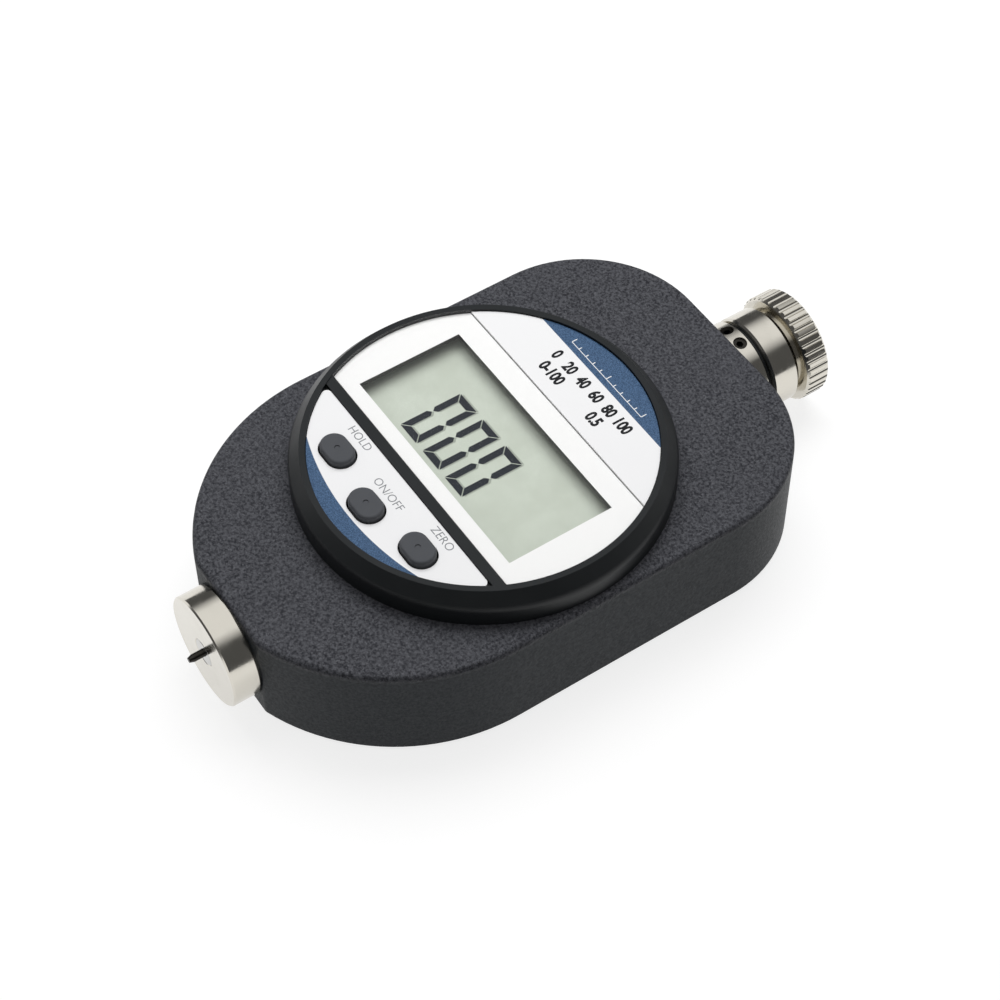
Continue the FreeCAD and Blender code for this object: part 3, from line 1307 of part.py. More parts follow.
def collar():
    bore = adjuster_radius + stem_gap
    stud_end = collar_face + collar_stud_length
    blank = turned_y("collar_blank", [
        (bore, knob_end - knob_block_depth),
        (collar_stem_radius, knob_end - knob_block_depth),
        (collar_stem_radius, knob_end),
        (cap_radius - collar_edge, knob_end),
        (cap_radius, knob_end + collar_edge),
        (cap_radius, collar_face - collar_edge),
        (cap_radius - collar_edge, collar_face),
        (collar_stud_radius, collar_face),
        (collar_stud_radius, stud_end),
        (bore, stud_end),
    ])
    # Two set screws lie side by side in the flange; both are drawn along Z and then turned
    depth = grub_setback + grub_length
    hole = rod("grub_hole", grub_radius + thread_gap, (0, 0, cap_radius - depth), depth + grub_setback)
    grub_blank = rod("grub_blank", grub_radius, (0, 0, cap_radius - depth), grub_length)
    socket = doc.addObject("Part::Prism", "grub_socket")
    socket.Polygon = 6
    bind(socket, "Circumradius", grub_hex)
    bind(socket, "Height", grub_length / 2)
    place(socket, 0, 0, cap_radius - grub_setback - grub_length / 2)
    grub = cut("grub", grub_blank, [socket])
    hole_holder = group("grub_hole_holder", [hole])
    grub_holder = group("grub_holder", [grub])
    station = knob_end + collar_thick / 2
    holes = []
    grubs = []
    for number, rotation in enumerate(grub_angles(), 1):
        holes.append(copy_of("grub_hole_%d" % number, hole_holder, 0, station, axis_height, rotation))
        grubs.append(copy_of("grub_%d" % number, grub_holder, 0, station, axis_height, rotation))
    piece("top_collar", cut("top_collar_drilled", blank, holes))
    piece("collar_set_screws", group("grub_pair", grubs))
    ring_bore = collar_stud_radius + cap_thread_gap
    ring_radius = ring_bore + ring_wall
    piece("cap_ring", turned_y("cap_ring", [
        (ring_bore, collar_face + ring_gap),
        (ring_radius, collar_face + ring_gap),
        (ring_radius, cap_start - ring_gap),
        (ring_bore, cap_start - ring_gap),
    ]))


def knurled_cap():
    wheel_end = wheel_start + wheel_width
    bore = collar_stud_radius + cap_thread_gap
    bore_end = collar_face + collar_stud_length + clearance_gap
    cap = turned_y("knurled_cap", [
        (bore, cap_start),
        (cap_radius - cap_edge, cap_start),
        (cap_radius, cap_start + cap_edge),
        (cap_radius, wheel_start - cap_relief - cap_shoulder),
        (cap_radius - cap_shoulder, wheel_start - cap_relief),
        (cap_radius - cap_shoulder - cap_relief_step, wheel_start - cap_relief),
        (cap_radius - cap_shoulder - cap_relief_step, wheel_start),
        (wheel_radius - wheel_edge, wheel_start),
        (wheel_radius, wheel_start + wheel_edge),
        (wheel_radius, wheel_end - wheel_edge),
        (wheel_radius - wheel_edge, wheel_end),
        (0, wheel_end),
        (0, bore_end),
        (bore, bore_end),
    ])
    # The flute is cut from the wheel's far face towards the foot, and repeated round the axis
    flute = new_sketch(cap, "flute", "XZ_Plane", -wheel_end)
    draw_circle(flute, wheel_radius + flute_out, 0, flute_radius)
    groove = pocket(cap, flute, wheel_width)
    pattern = cap.newObject("PartDesign::PolarPattern", "flutes")
    pattern.Originals = [groove]
    pattern.Axis = (origin_feature(cap, "Y_Axis"), [""])
    pattern.Angle = 360
    bind(pattern, "Occurrences", flute_count)
    cap.Tip = pattern
    piece("knurled_cap", cap)


def check_and_write():
    doc.recompute()
    for item in doc.Objects:
        if "Invalid" in item.State or "Error" in item.State:
            raise ValueError("%s failed: %s" % (item.Name, item.State))
    for item in pieces:
        if item.Shape.isNull() or not item.Shape.isValid():
            raise ValueError("%s has no valid shape" % item.Label)
    os.makedirs("parts", exist_ok=True)
    for item in pieces:
        item.Shape.exportStep("parts/%s.step" % item.Label)
        print("%-24s %2d solids %9.1f mm3" % (item.Label, len(item.Shape.Solids), item.Shape.Volume))


body_casing()
back_cover()
coin_cover()
coin_cell()
dial_housing()
window_and_labels()
display()
main_board()
buttons()
foot_and_indenter()
slider()
reading_head()
spring_and_adjuster()
collar()
knurled_cap()
check_and_write()
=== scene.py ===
# %% [markdown]
# A pocket hardness gauge for rubber, lying on its back on a white table.
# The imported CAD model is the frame: every part of the gauge is already in it, at its real size, in
# metres. This file gives each part the finish that the real one has, adds the printing and the
# display's figures, and sets up the light and the camera.

import math

import bmesh
import bpy
from mathutils import Matrix, Vector


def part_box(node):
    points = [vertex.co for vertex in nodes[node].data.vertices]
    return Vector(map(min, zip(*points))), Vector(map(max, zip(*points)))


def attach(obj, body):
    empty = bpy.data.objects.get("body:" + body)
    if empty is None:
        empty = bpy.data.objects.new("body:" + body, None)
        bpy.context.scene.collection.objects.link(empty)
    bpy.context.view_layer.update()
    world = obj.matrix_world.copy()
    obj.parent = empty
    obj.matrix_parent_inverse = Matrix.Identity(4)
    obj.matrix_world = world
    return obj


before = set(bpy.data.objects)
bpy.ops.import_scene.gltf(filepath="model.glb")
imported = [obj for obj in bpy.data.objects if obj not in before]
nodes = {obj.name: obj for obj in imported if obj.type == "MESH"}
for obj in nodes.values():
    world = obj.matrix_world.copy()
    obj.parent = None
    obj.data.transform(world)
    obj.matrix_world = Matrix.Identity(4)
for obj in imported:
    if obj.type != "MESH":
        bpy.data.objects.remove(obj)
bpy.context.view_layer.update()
MM = 0.001

# %% [markdown]
# Colours are read off real things as sRGB hex values. Blender's sockets want linear light, so one
# function turns the one into the other. A second small function adds a node to a material with its
# settings and its links, and is all that the materials below need.


# %% Colour and node helpers
def linear(hex_value):
    channels = [int(hex_value[i:i + 2], 16) / 255 for i in (1, 3, 5)]
    return [c / 12.92 if c <= 0.04045 else ((c + 0.055) / 1.055) ** 2.4 for c in channels] + [1.0]


def add(tree, kind, settings=None, links=None):
    node = tree.nodes.new(kind)
    for name, value in (settings or {}).items():
        if isinstance(name, str) and hasattr(node, name):
            setattr(node, name, value)
        else:
            node.inputs[name].default_value = value
    for name, source in (links or {}).items():
        tree.links.new(source, node.inputs[name])
    return node


# Starts a material: returns it with its tree, its shader and the object's own coordinates
def begin(name, color, metallic=0.0, roughness=0.5, ior=1.5):
    material = bpy.data.materials.new(name)
    material.use_nodes = True
    tree = material.node_tree
    tree.nodes.clear()
    shader = add(tree, "ShaderNodeBsdfPrincipled", {
        "Base Color": linear(color), "Metallic": metallic, "Roughness": roughness, "IOR": ior})
    output = add(tree, "ShaderNodeOutputMaterial")
    tree.links.new(shader.outputs["BSDF"], output.inputs["Surface"])
    place = add(tree, "ShaderNodeTexCoord")
    return material, tree, shader, place.outputs["Object"]


# Noise whose grains are about size_mm across
def grains(tree, place, size_mm, detail=2.0, roughness=0.5, stretch=(1, 1, 1)):
    spread = add(tree, "ShaderNodeMapping", {"Scale": stretch}, {"Vector": place})
    noise = add(tree, "ShaderNodeTexNoise", {
        "Scale": 1.0 / (size_mm * MM), "Detail": detail, "Roughness": roughness},
        {"Vector": spread.outputs["Vector"]})
    return noise.outputs["Fac"]


# Turns a value into a value: low..high in, out_low..out_high out
def remap(tree, value, low, high, out_low, out_high):
    node = add(tree, "ShaderNodeMapRange", {
        "From Min": low, "From Max": high, "To Min": out_low, "To Max": out_high},
        {"Value": value})
    return node.outputs["Result"]


# Mixes two colours, hex or socket, by a value
def blend_colors(tree, value, first, second):
    node = add(tree, "ShaderNodeMix", {"data_type": "RGBA"})
    tree.links.new(value, node.inputs["Factor"])
    for index, color in ((6, first), (7, second)):
        if isinstance(color, str):
            node.inputs[index].default_value = linear(color)
        else:
            tree.links.new(color, node.inputs[index])
    return node.outputs[2]


def bump(tree, shader, height, depth_mm, strength=1.0):
    node = add(tree, "ShaderNodeBump", {"Distance": depth_mm * MM, "Strength": strength},
               {"Height": height})
    tree.links.new(node.outputs["Normal"], shader.inputs["Normal"])


# %% [markdown]
# The body is a cast aluminium shell with a dark grey sand-textured paint. The paint dries into
# sharp little grains under half a millimetre across. One noise makes the grains, a second the specks
# on their tips, and a third the broad, faint clouds of handling. The specks are painted lighter:
# painted glints, standing in for single grain tips that catch the light, which is what the eye reads
# as sandy. The paint is matt: its gloss is well under a plastic's. On the walls, below the front
# edge, the relief is smaller, and the colour is painted darker than the top: painted shade.


# %% Sand paint
EDGE_ROUNDING = 0.8 * MM
FRONT_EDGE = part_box("body_casing")[1].z - EDGE_ROUNDING


def sand_paint():
    material, tree, shader, place = begin("sand_paint_on_aluminium", "#3A3B40", 0.0, 0.5)
    parts = add(tree, "ShaderNodeSeparateXYZ", {}, {"Vector": place})
    front = remap(tree, parts.outputs["Z"], FRONT_EDGE - 0.6 * MM, FRONT_EDGE + 0.3 * MM, 0.0, 1.0)
    shader.inputs["Specular IOR Level"].default_value = 0.22
    grain = grains(tree, place, 0.46, 3.0, 0.7)
    glint_specks = grains(tree, place, 0.3, 2.0, 0.6)
    patches = grains(tree, place, 14.0, 2.0, 0.5)
    tone = blend_colors(tree, remap(tree, grain, 0.38, 0.6, 0.0, 1.0), "#24252A", "#515257")
    worn = blend_colors(tree, remap(tree, patches, 0.4, 0.65, 0.0, 0.18), tone, "#4C4D52")
    # painted glints: the specks on the grain tips are painted lighter, as if they caught the light
    lit = blend_colors(tree, remap(tree, glint_specks, 0.56, 0.7, 0.0, 0.6), worn, "#6A6B70")
    # painted shade: the walls below the front edge get a darker colour than the top
    painted_shade_walls = blend_colors(tree, remap(tree, grain, 0.3, 0.7, 0.0, 1.0), "#1C2125", "#2B3035")
    tree.links.new(blend_colors(tree, front, painted_shade_walls, lit), shader.inputs["Base Color"])
    tree.links.new(remap(tree, grain, 0.3, 0.7, 0.62, 0.44), shader.inputs["Roughness"])
    height = add(tree, "ShaderNodeMath", {"operation": "MULTIPLY_ADD", 1: 0.4},
                 {0: glint_specks, 2: grain})
    relief = add(tree, "ShaderNodeMath", {"operation": "MULTIPLY"}, {
        0: height.outputs[0], 1: remap(tree, front, 0.0, 1.0, 0.35, 1.0)})
    bump(tree, shader, relief.outputs[0], 0.09, 0.8)
    return material


# %% [markdown]
# The display head, the ring in the groove and the battery holder are moulded ABS. A satin moulded
# plastic has a very fine spark-eroded texture, so its highlights are soft but still clear.


# %% Moulded plastics
def satin_abs(name, color, roughness=0.36, grain_mm=0.12, depth_mm=0.008):
    material, tree, shader, place = begin(name, color, 0.0, roughness, 1.52)
    shader.inputs["Specular IOR Level"].default_value = 0.34
    grain = grains(tree, place, grain_mm, 2.0)
    patches = grains(tree, place, 9.0, 3.0)
    tree.links.new(remap(tree, patches, 0.35, 0.65, roughness - 0.04, roughness + 0.05),
                   shader.inputs["Roughness"])
    bump(tree, shader, grain, depth_mm, 0.6)
    return material


# %% [markdown]
# Foot, collar and cap are turned brass with a bright nickel plate. Nickel is a warm, slightly
# yellow grey. The brass was turned on a lathe before plating, so very fine rings run round the
# axis; they blur the mirror a little along the axis. The rings come from noise squeezed along Y.


# %% Nickel plate and turned steels
def turned_metal(name, color, roughness, ring_mm=0.06, depth_mm=0.0012, cloud=0.05):
    material, tree, shader, place = begin(name, color, 1.0, roughness)
    rings = grains(tree, place, 20.0, 3.0, 0.6, (1.0, 20.0 / ring_mm, 1.0))
    patches = grains(tree, place, 3.0, 3.0)
    tree.links.new(remap(tree, patches, 0.35, 0.65, max(roughness - cloud, 0.02), roughness + cloud),
                   shader.inputs["Roughness"])
    bump(tree, shader, rings, depth_mm, 0.5)
    return material


# %% [markdown]
# The window is clear acrylic. Seen from the front it is all but invisible, and what shows is its
# gloss. A see-through shader mixed with a glossy one gives just that, and lets the lamps reach the
# display below. Layer Weight grows towards grazing view on both sides of the plate alike, so the
# plate's sides don't turn into mirrors from inside, as they would with Fresnel.


# %% Clear acrylic
def clear_acrylic():
    material, tree, shader, place = begin("clear_acrylic", "#FFFFFF", 0.0, 0.03, 1.49)
    tree.links.new(remap(tree, grains(tree, place, 8.0, 2.0), 0.3, 0.7, 0.02, 0.05),
                   shader.inputs["Roughness"])
    clear = add(tree, "ShaderNodeBsdfTransparent", {"Color": linear("#FFFFFF")})
    mirror = add(tree, "ShaderNodeLayerWeight", {"Blend": 0.03})
    mix = add(tree, "ShaderNodeMixShader", {}, {
        0: mirror.outputs["Facing"], 1: clear.outputs["BSDF"], 2: shader.outputs["BSDF"]})
    output = [n for n in tree.nodes if n.type == "OUTPUT_MATERIAL"][0]
    tree.links.new(mix.outputs["Shader"], output.inputs["Surface"])
    return material


# %% [markdown]
# Both labels are printed polycarbonate film: white, with a blue metallic field at the outer edge.
# The upper field ends on a straight line and the lower one on an arc, so each is a distance in
# object coordinates compared with a number. The blue ink holds fine aluminium flakes.


# %% Printed label film
BLUE_LINE_Y = 21.2
BLUE_ARC_Y = 24.4
BLUE_ARC_R = 48.0
INK_EDGE = 0.03 * MM


def label_film(name, field):
    material, tree, shader, place = begin(name, "#F7F7F8", 0.0, 0.42, 1.58)
    shader.inputs["Specular IOR Level"].default_value = 0.25
    parts = add(tree, "ShaderNodeSeparateXYZ", {}, {"Vector": place})
    if field == "line":
        distance = parts.outputs["Y"]
        edge = BLUE_LINE_Y * MM
    else:
        middle = add(tree, "ShaderNodeCombineXYZ", {"Y": BLUE_ARC_Y * MM})
        flat = add(tree, "ShaderNodeCombineXYZ", {}, {
            "X": parts.outputs["X"], "Y": parts.outputs["Y"]})
        gap = add(tree, "ShaderNodeVectorMath", {"operation": "DISTANCE"}, {
            0: flat.outputs["Vector"], 1: middle.outputs["Vector"]})
        distance = gap.outputs["Value"]
        edge = BLUE_ARC_R * MM
    inside = remap(tree, distance, edge - INK_EDGE, edge + INK_EDGE, 0.0, 1.0)
    flakes = grains(tree, place, 0.16, 2.0, 0.7)
    ink = blend_colors(tree, remap(tree, flakes, 0.4, 0.6, 0.0, 1.0), "#2B4461", "#506D90")
    tree.links.new(blend_colors(tree, inside, "#F7F7F8", ink), shader.inputs["Base Color"])
    tree.links.new(remap(tree, grains(tree, place, 5.0, 2.0), 0.3, 0.7, 0.38, 0.46),
                   shader.inputs["Roughness"])
    bump(tree, shader, flakes, 0.004, 0.3)
    return material


# %% [markdown]
# The mask carries white ink on its face. Below the ink it is near black: painted shade on the
# opening's walls and the frame's back, so the band along the opening reads dark, and the display
# under its edge lies in shade.


# %% Display mask and display sheets
MASK_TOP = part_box("display_mask")[1].z
INK_FROM = MASK_TOP - 0.05 * MM
INK_FULL = MASK_TOP - 0.03 * MM


def mask_print():
    material, tree, shader, place = begin("white_screen_print", "#F7F8F8", 0.0, 0.4)
    parts = add(tree, "ShaderNodeSeparateXYZ", {}, {"Vector": place})
    face = remap(tree, parts.outputs["Z"], INK_FROM, INK_FULL, 0.0, 1.0)
    paper = grains(tree, place, 0.4, 2.0)
    ink = blend_colors(tree, paper, "#FAFAF9", "#FEFEFD")
    # painted shade: below the ink the mask is near black, on its walls and its back
    tree.links.new(blend_colors(tree, face, "#101112", ink), shader.inputs["Base Color"])
    bump(tree, shader, paper, 0.002, 0.3)
    return material


def display_sheet(name, dark, light):
    material, tree, shader, place = begin(name, light, 0.0, 0.42)
    cloud = grains(tree, place, 7.0, 3.0, 0.6)
    speck = grains(tree, place, 0.3, 2.0, 0.6)
    tone = blend_colors(tree, remap(tree, cloud, 0.3, 0.7, 0.0, 1.0), dark, light)
    tree.links.new(blend_colors(tree, remap(tree, speck, 0.35, 0.65, 0.0, 0.35), tone, dark),
                   shader.inputs["Base Color"])
    tree.links.new(remap(tree, cloud, 0.3, 0.7, 0.38, 0.46), shader.inputs["Roughness"])
    return material


# %% [markdown]
# The button caps are moulded silicone rubber. It is matte, takes dust and finger marks in faint
# clouds, and has a soft sheen at its edges.


# %% Rubber and the hidden parts' finishes
def rubber(name, color, roughness=0.62):
    material, tree, shader, place = begin(name, color, 0.0, roughness, 1.43)
    shader.inputs["Specular IOR Level"].default_value = 0.35
    shader.inputs["Sheen Weight"].default_value = 0.08
    shader.inputs["Sheen Roughness"].default_value = 0.5
    grain = grains(tree, place, 0.18, 3.0)
    clouds = grains(tree, place, 2.5, 3.0)
    tree.links.new(remap(tree, clouds, 0.3, 0.7, roughness - 0.06, roughness + 0.06),
                   shader.inputs["Roughness"])
    bump(tree, shader, grain, 0.012, 0.6)
    return material


def circuit_board():
    material, tree, shader, place = begin("solder_mask_on_glass_fibre", "#1C5A38", 0.0, 0.34)
    weave = add(tree, "ShaderNodeTexWave", {"Scale": 1.0 / (0.9 * MM), "Distortion": 1.2},
                {"Vector": place})
    part = remap(tree, weave.outputs["Fac"], 0.0, 1.0, 0.0, 0.4)
    tone = blend_colors(tree, part, "#17503A", "#23684A")
    tree.links.new(tone, shader.inputs["Base Color"])
    bump(tree, shader, weave.outputs["Fac"], 0.01, 0.4)
    return material


def amber_film():
    material, tree, shader, place = begin("amber_polyimide", "#B4701E", 0.0, 0.25)
    tracks = add(tree, "ShaderNodeTexWave", {"Scale": 1.0 / (1.6 * MM), "bands_direction": "X"},
                 {"Vector": place})
    copper = remap(tree, tracks.outputs["Fac"], 0.45, 0.55, 0.0, 1.0)
    tree.links.new(blend_colors(tree, copper, "#A8651A", "#C98A3C"), shader.inputs["Base Color"])
    return material


# %% [markdown]
# Each finish goes to the CAD parts that are made of it. The parts keep their own shapes.

# %% Dress the CAD parts
finishes = {
    sand_paint(): ["body_casing", "back_cover"],
    satin_abs("satin_black_abs", "#1A1D1F", 0.44): ["dial_housing", "cap_ring"],
    satin_abs("black_abs_moulding", "#1B1C1E", 0.5): ["battery_cover", "battery_holder"],
    satin_abs("epoxy_resin_chip", "#121214", 0.28, 0.5, 0.02): [
        "controller_chip", "board_components", "button_switches"],
    satin_abs("white_acetal", "#D8D7D0", 0.4): ["slider_block"],
    turned_metal("bright_nickel_plate", "#D6D2C8", 0.17): ["presser_foot", "top_collar", "knurled_cap"],
    turned_metal("ground_steel", "#C4C3C0", 0.22): [
        "foot_guide_bush", "spindle", "guide_pin", "back_cover_screws", "dial_screws", "board_screws",
        "reader_board_screws", "snap_domes", "battery_contact_plus", "battery_contact_minus",
        "battery", "calibrated_spring"],
    turned_metal("hardened_dark_steel", "#3A3835", 0.28): [
        "indenter", "slider_set_screw", "adjuster_lock_plug", "collar_set_screws"],
    turned_metal("turned_brass", "#C9A464", 0.25): ["spring_seat", "spring_adjuster", "upper_guide_bush"],
    clear_acrylic(): ["window_plate"],
    mask_print(): ["display_mask"],
    label_film("upper_label_film", "line"): ["upper_label"],
    label_film("lower_label_film", "arc"): ["lower_label"],
    display_sheet("reflective_display_sheet", "#C4CCBE", "#D3DBCE"): [
        "lcd_polariser", "lcd_glass", "lcd_reflector"],
    rubber("silicone_button_rubber", "#505256"): ["button_hold", "button_on_off", "button_zero"],
    rubber("black_seal_rubber", "#18181A"): ["battery_cover_seal", "zebra_strips"],
    circuit_board(): ["main_board", "reader_board", "scale_strip"],
    amber_film(): ["reader_flex"],
}
for material, names in finishes.items():
    for name in names:
        slots = nodes[name].material_slots
        if slots:
            for holder in slots:
                holder.material = material
        else:
            nodes[name].data.materials.append(material)
dressed = {name for names in finishes.values() for name in names}
print("dressed", len(dressed), "left plain", sorted(set(nodes) - dressed))

# %% [markdown]
# Everything printed on the gauge is thin: ink two hundredths of a millimetre high. The outlines are
# drawn flat with bmesh or as text, given that thickness, and laid on the surface that carries them.


# %% Printing helpers
INK = 0.02
LABEL_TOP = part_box("upper_label")[1].z / MM
CAPITAL_SHARE = 0.7


def ink(name, color, roughness=0.4):
    material, tree, shader, place = begin(name, color, 0.0, roughness)
    shader.inputs["Specular IOR Level"].default_value = 0.2
    speck = grains(tree, place, 0.12, 2.0)
    tree.links.new(remap(tree, speck, 0.3, 0.7, roughness - 0.05, roughness + 0.05),
                   shader.inputs["Roughness"])
    return material


# Makes an object from flat outlines given in millimetres, raised by the thickness of the ink
def printed(name, outlines, z, material):
    shape = bmesh.new()
    for outline in outlines:
        corners = [shape.verts.new((x * MM, y * MM, z * MM)) for x, y in outline]
        shape.faces.new(corners)
    bmesh.ops.recalc_face_normals(shape, faces=shape.faces)
    raised = bmesh.ops.extrude_face_region(shape, geom=list(shape.faces))
    tops = [item for item in raised["geom"] if isinstance(item, bmesh.types.BMVert)]
    bmesh.ops.translate(shape, verts=tops, vec=(0, 0, INK * MM))
    bmesh.ops.recalc_face_normals(shape, faces=shape.faces)
    mesh = bpy.data.meshes.new(name)
    shape.to_mesh(mesh)
    shape.free()
    mesh.materials.append(material)
    piece = bpy.data.objects.new(name, mesh)
    bpy.context.collection.objects.link(piece)
    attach(piece, "gauge")


# Text on a label: height is a capital letter's, width stretches the words sideways, and thin is how
# much each edge of a stroke is pulled in, so that less than nothing makes it bolder
def lettered(name, words, x, y, height, material, width=1.0, thin=0.0):
    curve = bpy.data.curves.new(name, "FONT")
    curve.body = words
    curve.align_x = "CENTER"
    curve.size = height / CAPITAL_SHARE
    curve.offset = -thin
    curve.extrude = INK / 2
    curve.resolution_u = 4
    holder = bpy.data.objects.new(name + "_text", curve)
    bpy.context.collection.objects.link(holder)
    bpy.context.view_layer.update()
    mesh = bpy.data.meshes.new_from_object(holder.evaluated_get(bpy.context.evaluated_depsgraph_get()))
    bpy.data.objects.remove(holder)
    mesh.transform(Matrix.Translation((x * MM, y * MM, (LABEL_TOP + INK / 2) * MM))
                   @ Matrix.Diagonal((width * MM, MM, MM, 1.0)))
    mesh.materials.clear()
    mesh.materials.append(material)
    piece = bpy.data.objects.new(name, mesh)
    bpy.context.collection.objects.link(piece)
    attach(piece, "gauge")


# %% [markdown]
# The display shows three figures, each with its seven segments, the middle one off, so they read
# 000. A segment is a bar with mitred ends, and the upright ones have a point at mid height. The real
# figures lie in the liquid crystal, a little in front of the pale sheet behind it, so each one has
# a faint shadow beside it.

# %% Display figures
DISPLAY_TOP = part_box("lcd_polariser")[1].z / MM
FIGURE_LEFT = -11.8
FIGURE_LOW = -7.1
FIGURE_HIGH = 3.7
FIGURE_WIDTH = 4.5
FIGURE_PITCH = 6.1
FIGURES = 3
SEGMENT = 1.15
SEGMENT_GAP = 0.12


def figure_segments(left, low, width, high):
    middle = (low + high) / 2
    right = left + width
    s = SEGMENT
    g = SEGMENT_GAP
    half = s / 2
    bars = [
        [(left + g, high), (right - g, high), (right - s - g, high - s), (left + s + g, high - s)],
        [(left + g, low), (left + s + g, low + s), (right - s - g, low + s), (right - g, low)],
    ]
    for near, far in ((left, left + s), (right, right - s)):
        centre = (near + far) / 2
        bars.append([(near, high - g), (far, high - s - g), (far, middle + g + half),
                     (centre, middle + g), (near, middle + g + half)])
        bars.append([(near, low + g), (far, low + s + g), (far, middle - g - half),
                     (centre, middle - g), (near, middle - g - half)])
    return bars


segments = []
for number in range(FIGURES):
    segments += figure_segments(FIGURE_LEFT + FIGURE_PITCH * number, FIGURE_LOW, FIGURE_WIDTH,
                                FIGURE_HIGH)
SHADOW_X = 0.22
SHADOW_Y = 0.28
SHADOW_LIFT = 0.005
FIGURE_LIFT = 0.03
shadows = [[(x + SHADOW_X, y + SHADOW_Y) for x, y in bar] for bar in segments]
printed("display_figures", segments, DISPLAY_TOP + FIGURE_LIFT,
        ink("liquid_crystal_on", "#111923", 0.5))
printed("display_figure_shadows", shadows, DISPLAY_TOP + SHADOW_LIFT,
        ink("liquid_crystal_shadow", "#A4AB9F", 0.5))
print("segments", len(segments))

# %% [markdown]
# The lower label names the three buttons in thin grey capitals. The upper label gives the range
# and the step of the reading in black, with the numbers of the scale above them.

# %% Legends
grey_ink = ink("grey_ink", "#8A8C90")
black_ink = ink("black_ink", "#1E1F22")
white_ink = ink("white_ink", "#F4F5F6")
LEGEND_HEIGHT = 1.35
LEGEND_THIN = 0.016
NUMBER_HEIGHT = 1.9
NUMBER_WIDTH = 0.78
NUMBER_THIN = -0.11
RANGE_Y = 15.3
NUMBERS_Y = 18.1
NUMBERS_LEFT = -8.2
NUMBERS_PITCH = 3.4
legends = [("legend_hold", "HOLD", -10.95, -15.2), ("legend_on_off", "ON/OFF", 0.3, -17.3),
           ("legend_zero", "ZERO", 11.5, -15.2)]
for name, words, x, y in legends:
    lettered(name, words, x, y, LEGEND_HEIGHT, grey_ink, thin=LEGEND_THIN)
numbers = [("range_figures", "0-100", -5.6, RANGE_Y), ("step_figures", "0.5", 5.4, RANGE_Y)]
for number in range(6):
    numbers.append(("scale_number_%d" % (20 * number), "%d" % (20 * number),
                    NUMBERS_LEFT + NUMBERS_PITCH * number, NUMBERS_Y))
for name, words, x, y in numbers:
    lettered(name, words, x, y, NUMBER_HEIGHT, black_ink, NUMBER_WIDTH, NUMBER_THIN)

# %% [markdown]
# The scale in the blue field: eleven white ticks on a base line, the end and middle ones longer.

# %% Scale
SCALE_HALF = 9.0
SCALE_BASE = 22.2
SCALE_LINE = 0.12
TICK_HALF = 0.08
TICKS = 10
LONG_TICK = 0.9
SHORT_TICK = 0.5
scale_top = SCALE_BASE + SCALE_LINE
ticks = [[(-SCALE_HALF, SCALE_BASE), (SCALE_HALF, SCALE_BASE), (SCALE_HALF, scale_top),
          (-SCALE_HALF, scale_top)]]
for number in range(TICKS + 1):
    middle = SCALE_HALF * (2 * number / TICKS - 1)
    tall = LONG_TICK if number % 5 == 0 else SHORT_TICK
    ticks.append([(middle - TICK_HALF, scale_top), (middle + TICK_HALF, scale_top),
                  (middle + TICK_HALF, scale_top + tall), (middle - TICK_HALF, scale_top + tall)])
printed("white_scale", ticks, LABEL_TOP, white_ink)

# %% [markdown]
# Light: one wide soft box over the table and a weak, even world light. That is how such a product
# is shot, and it gives the plated parts their look: the white box and the white table mirror as
# bright bands, and the dark room between them as a dark band. Mirrors see the world's bright patch
# as the box, so the lamp itself is hidden from them. The camera sees white behind the gauge, and
# the table keeps a soft shadow.

# %% World
BOX_MIDDLE = (-0.18, 0.0, 0.98)
world = bpy.data.worlds.new("studio")
bpy.context.scene.world = world
world.use_nodes = True
sky = world.node_tree
sky.nodes.clear()
path = add(sky, "ShaderNodeLightPath")
direction = add(sky, "ShaderNodeTexCoord")
towards = add(sky, "ShaderNodeSeparateXYZ", {}, {"Vector": direction.outputs["Generated"]})
over_box = add(sky, "ShaderNodeVectorMath", {"operation": "DOT_PRODUCT", 1: BOX_MIDDLE}, {
    0: direction.outputs["Generated"]})
room = remap(sky, over_box.outputs["Value"], 0.62, 0.84, 0.09, 1.0)
fill_strength = remap(sky, towards.outputs["Z"], 0.0, 1.0, 0.08, 0.45)
room_color = add(sky, "ShaderNodeCombineColor", {}, {"Red": room, "Green": room, "Blue": room})
fill = add(sky, "ShaderNodeBackground", {"Color": linear("#FFFFFF")}, {"Strength": fill_strength})
mirror_room = add(sky, "ShaderNodeBackground", {"Strength": 1.0}, {"Color": room_color.outputs["Color"]})
backdrop = add(sky, "ShaderNodeBackground", {"Color": linear("#FFFFFF"), "Strength": 1.0})
by_gloss = add(sky, "ShaderNodeMixShader", {}, {
    0: path.outputs["Is Glossy Ray"], 1: fill.outputs["Background"], 2: mirror_room.outputs["Background"]})
by_eye = add(sky, "ShaderNodeMixShader", {}, {
    0: path.outputs["Is Camera Ray"], 1: by_gloss.outputs["Shader"], 2: backdrop.outputs["Background"]})
add(sky, "ShaderNodeOutputWorld", {}, {"Surface": by_eye.outputs["Shader"]})


# %% Lamps
def lamp(name, place_mm, aim_mm, size_mm, power):
    data = bpy.data.lights.new(name, "AREA")
    data.shape = "RECTANGLE"
    data.size, data.size_y = size_mm[0] * MM, size_mm[1] * MM
    data.energy = power
    light = bpy.data.objects.new(name, data)
    light.location = Vector(place_mm) * MM
    light.rotation_euler = (Vector(aim_mm) - Vector(place_mm)).to_track_quat("-Z", "Y").to_euler()
    bpy.context.collection.objects.link(light)
    return light


overhead = lamp("overhead_box", (-180, 120, 420), (-50, 40, 10), (520, 340), 1.9)
overhead.visible_glossy = False

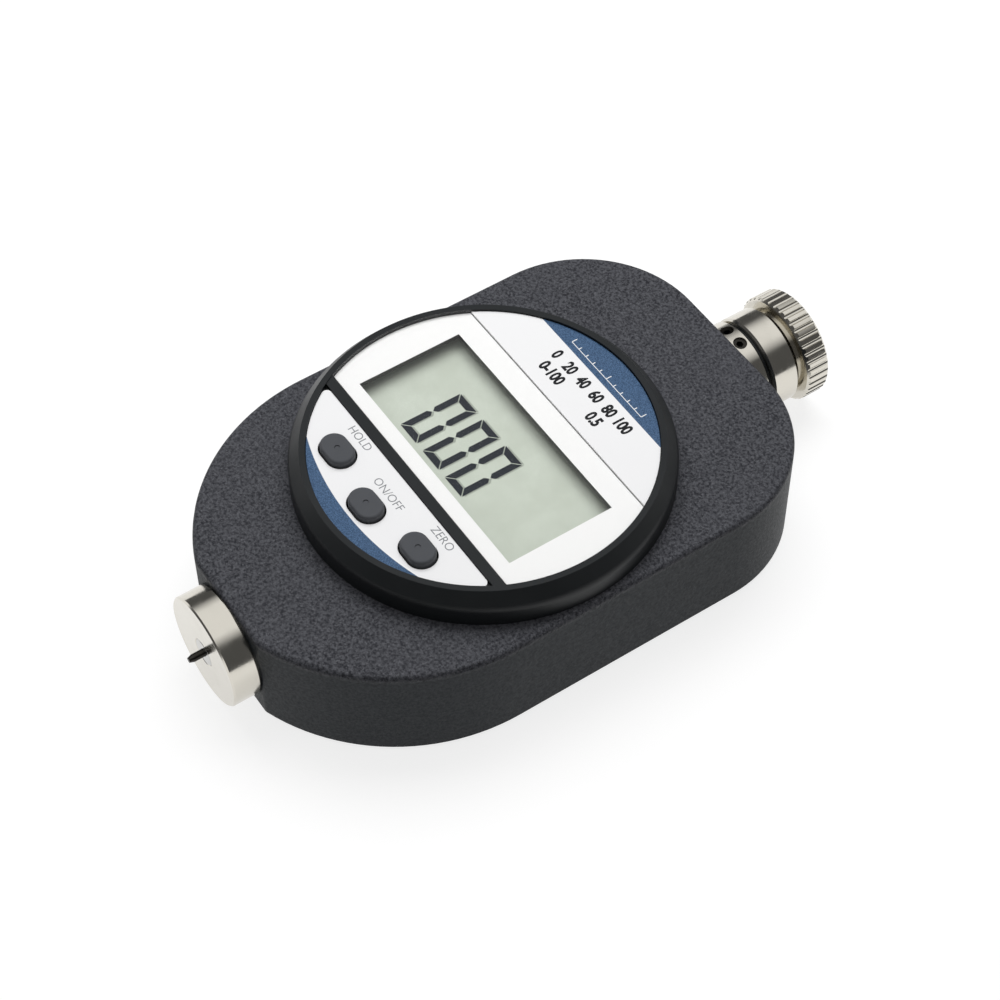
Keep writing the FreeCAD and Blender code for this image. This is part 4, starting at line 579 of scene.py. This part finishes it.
# %% Table
TABLE_SIZE = 4.0
TABLE_Z = -0.02 * MM
bpy.ops.mesh.primitive_plane_add(size=TABLE_SIZE, location=(0, 0, TABLE_Z))
table = bpy.context.object
table.name = "table"
surface, table_tree, table_shader, _ = begin("white_table", "#949494", 0.0, 0.9)
grey_bounce = add(table_tree, "ShaderNodeBsdfDiffuse", {"Color": linear("#8A8A8A")})
glow = add(table_tree, "ShaderNodeEmission", {"Color": linear("#FFFFFF"), "Strength": 0.78})
table_path = add(table_tree, "ShaderNodeLightPath")
either = add(table_tree, "ShaderNodeMath", {"operation": "MAXIMUM"}, {
    0: table_path.outputs["Is Camera Ray"], 1: table_path.outputs["Is Glossy Ray"]})
seen = add(table_tree, "ShaderNodeMixShader", {}, {0: either.outputs[0]})
lit = add(table_tree, "ShaderNodeAddShader", {}, {
    0: table_shader.outputs["BSDF"], 1: glow.outputs["Emission"]})
table_tree.links.new(grey_bounce.outputs["BSDF"], seen.inputs[1])
table_tree.links.new(lit.outputs["Shader"], seen.inputs[2])
table_output = [n for n in table_tree.nodes if n.type == "OUTPUT_MATERIAL"][0]
table_tree.links.new(seen.outputs["Shader"], table_output.inputs["Surface"])
table.data.materials.append(surface)

# %% [markdown]
# The camera stands where the photograph's did: worked out from the outlines of parts whose sizes
# are known. A long lens from about 0.4 metres gives the slight perspective.

# %% Camera
CAMERA_AZIMUTH = 56.6
CAMERA_ELEVATION = 52.15
CAMERA_ROLL = -0.5
CAMERA_PLACE = (196.1, -126.4, 310.3)
LENS = 90.0
camera_data = bpy.data.cameras.new("camera")
camera_data.lens = LENS
camera_data.sensor_width = 36.0
camera_data.clip_start = 0.01
camera = bpy.data.objects.new("camera", camera_data)
turn = (Matrix.Rotation(math.radians(CAMERA_AZIMUTH), 4, "Z")
        @ Matrix.Rotation(math.radians(90 - CAMERA_ELEVATION), 4, "X")
        @ Matrix.Rotation(math.radians(CAMERA_ROLL), 4, "Z"))
camera.matrix_world = Matrix.Translation(Vector(CAMERA_PLACE) * MM) @ turn
bpy.context.collection.objects.link(camera)
bpy.context.scene.camera = camera
bpy.context.scene.view_settings.view_transform = "Standard"
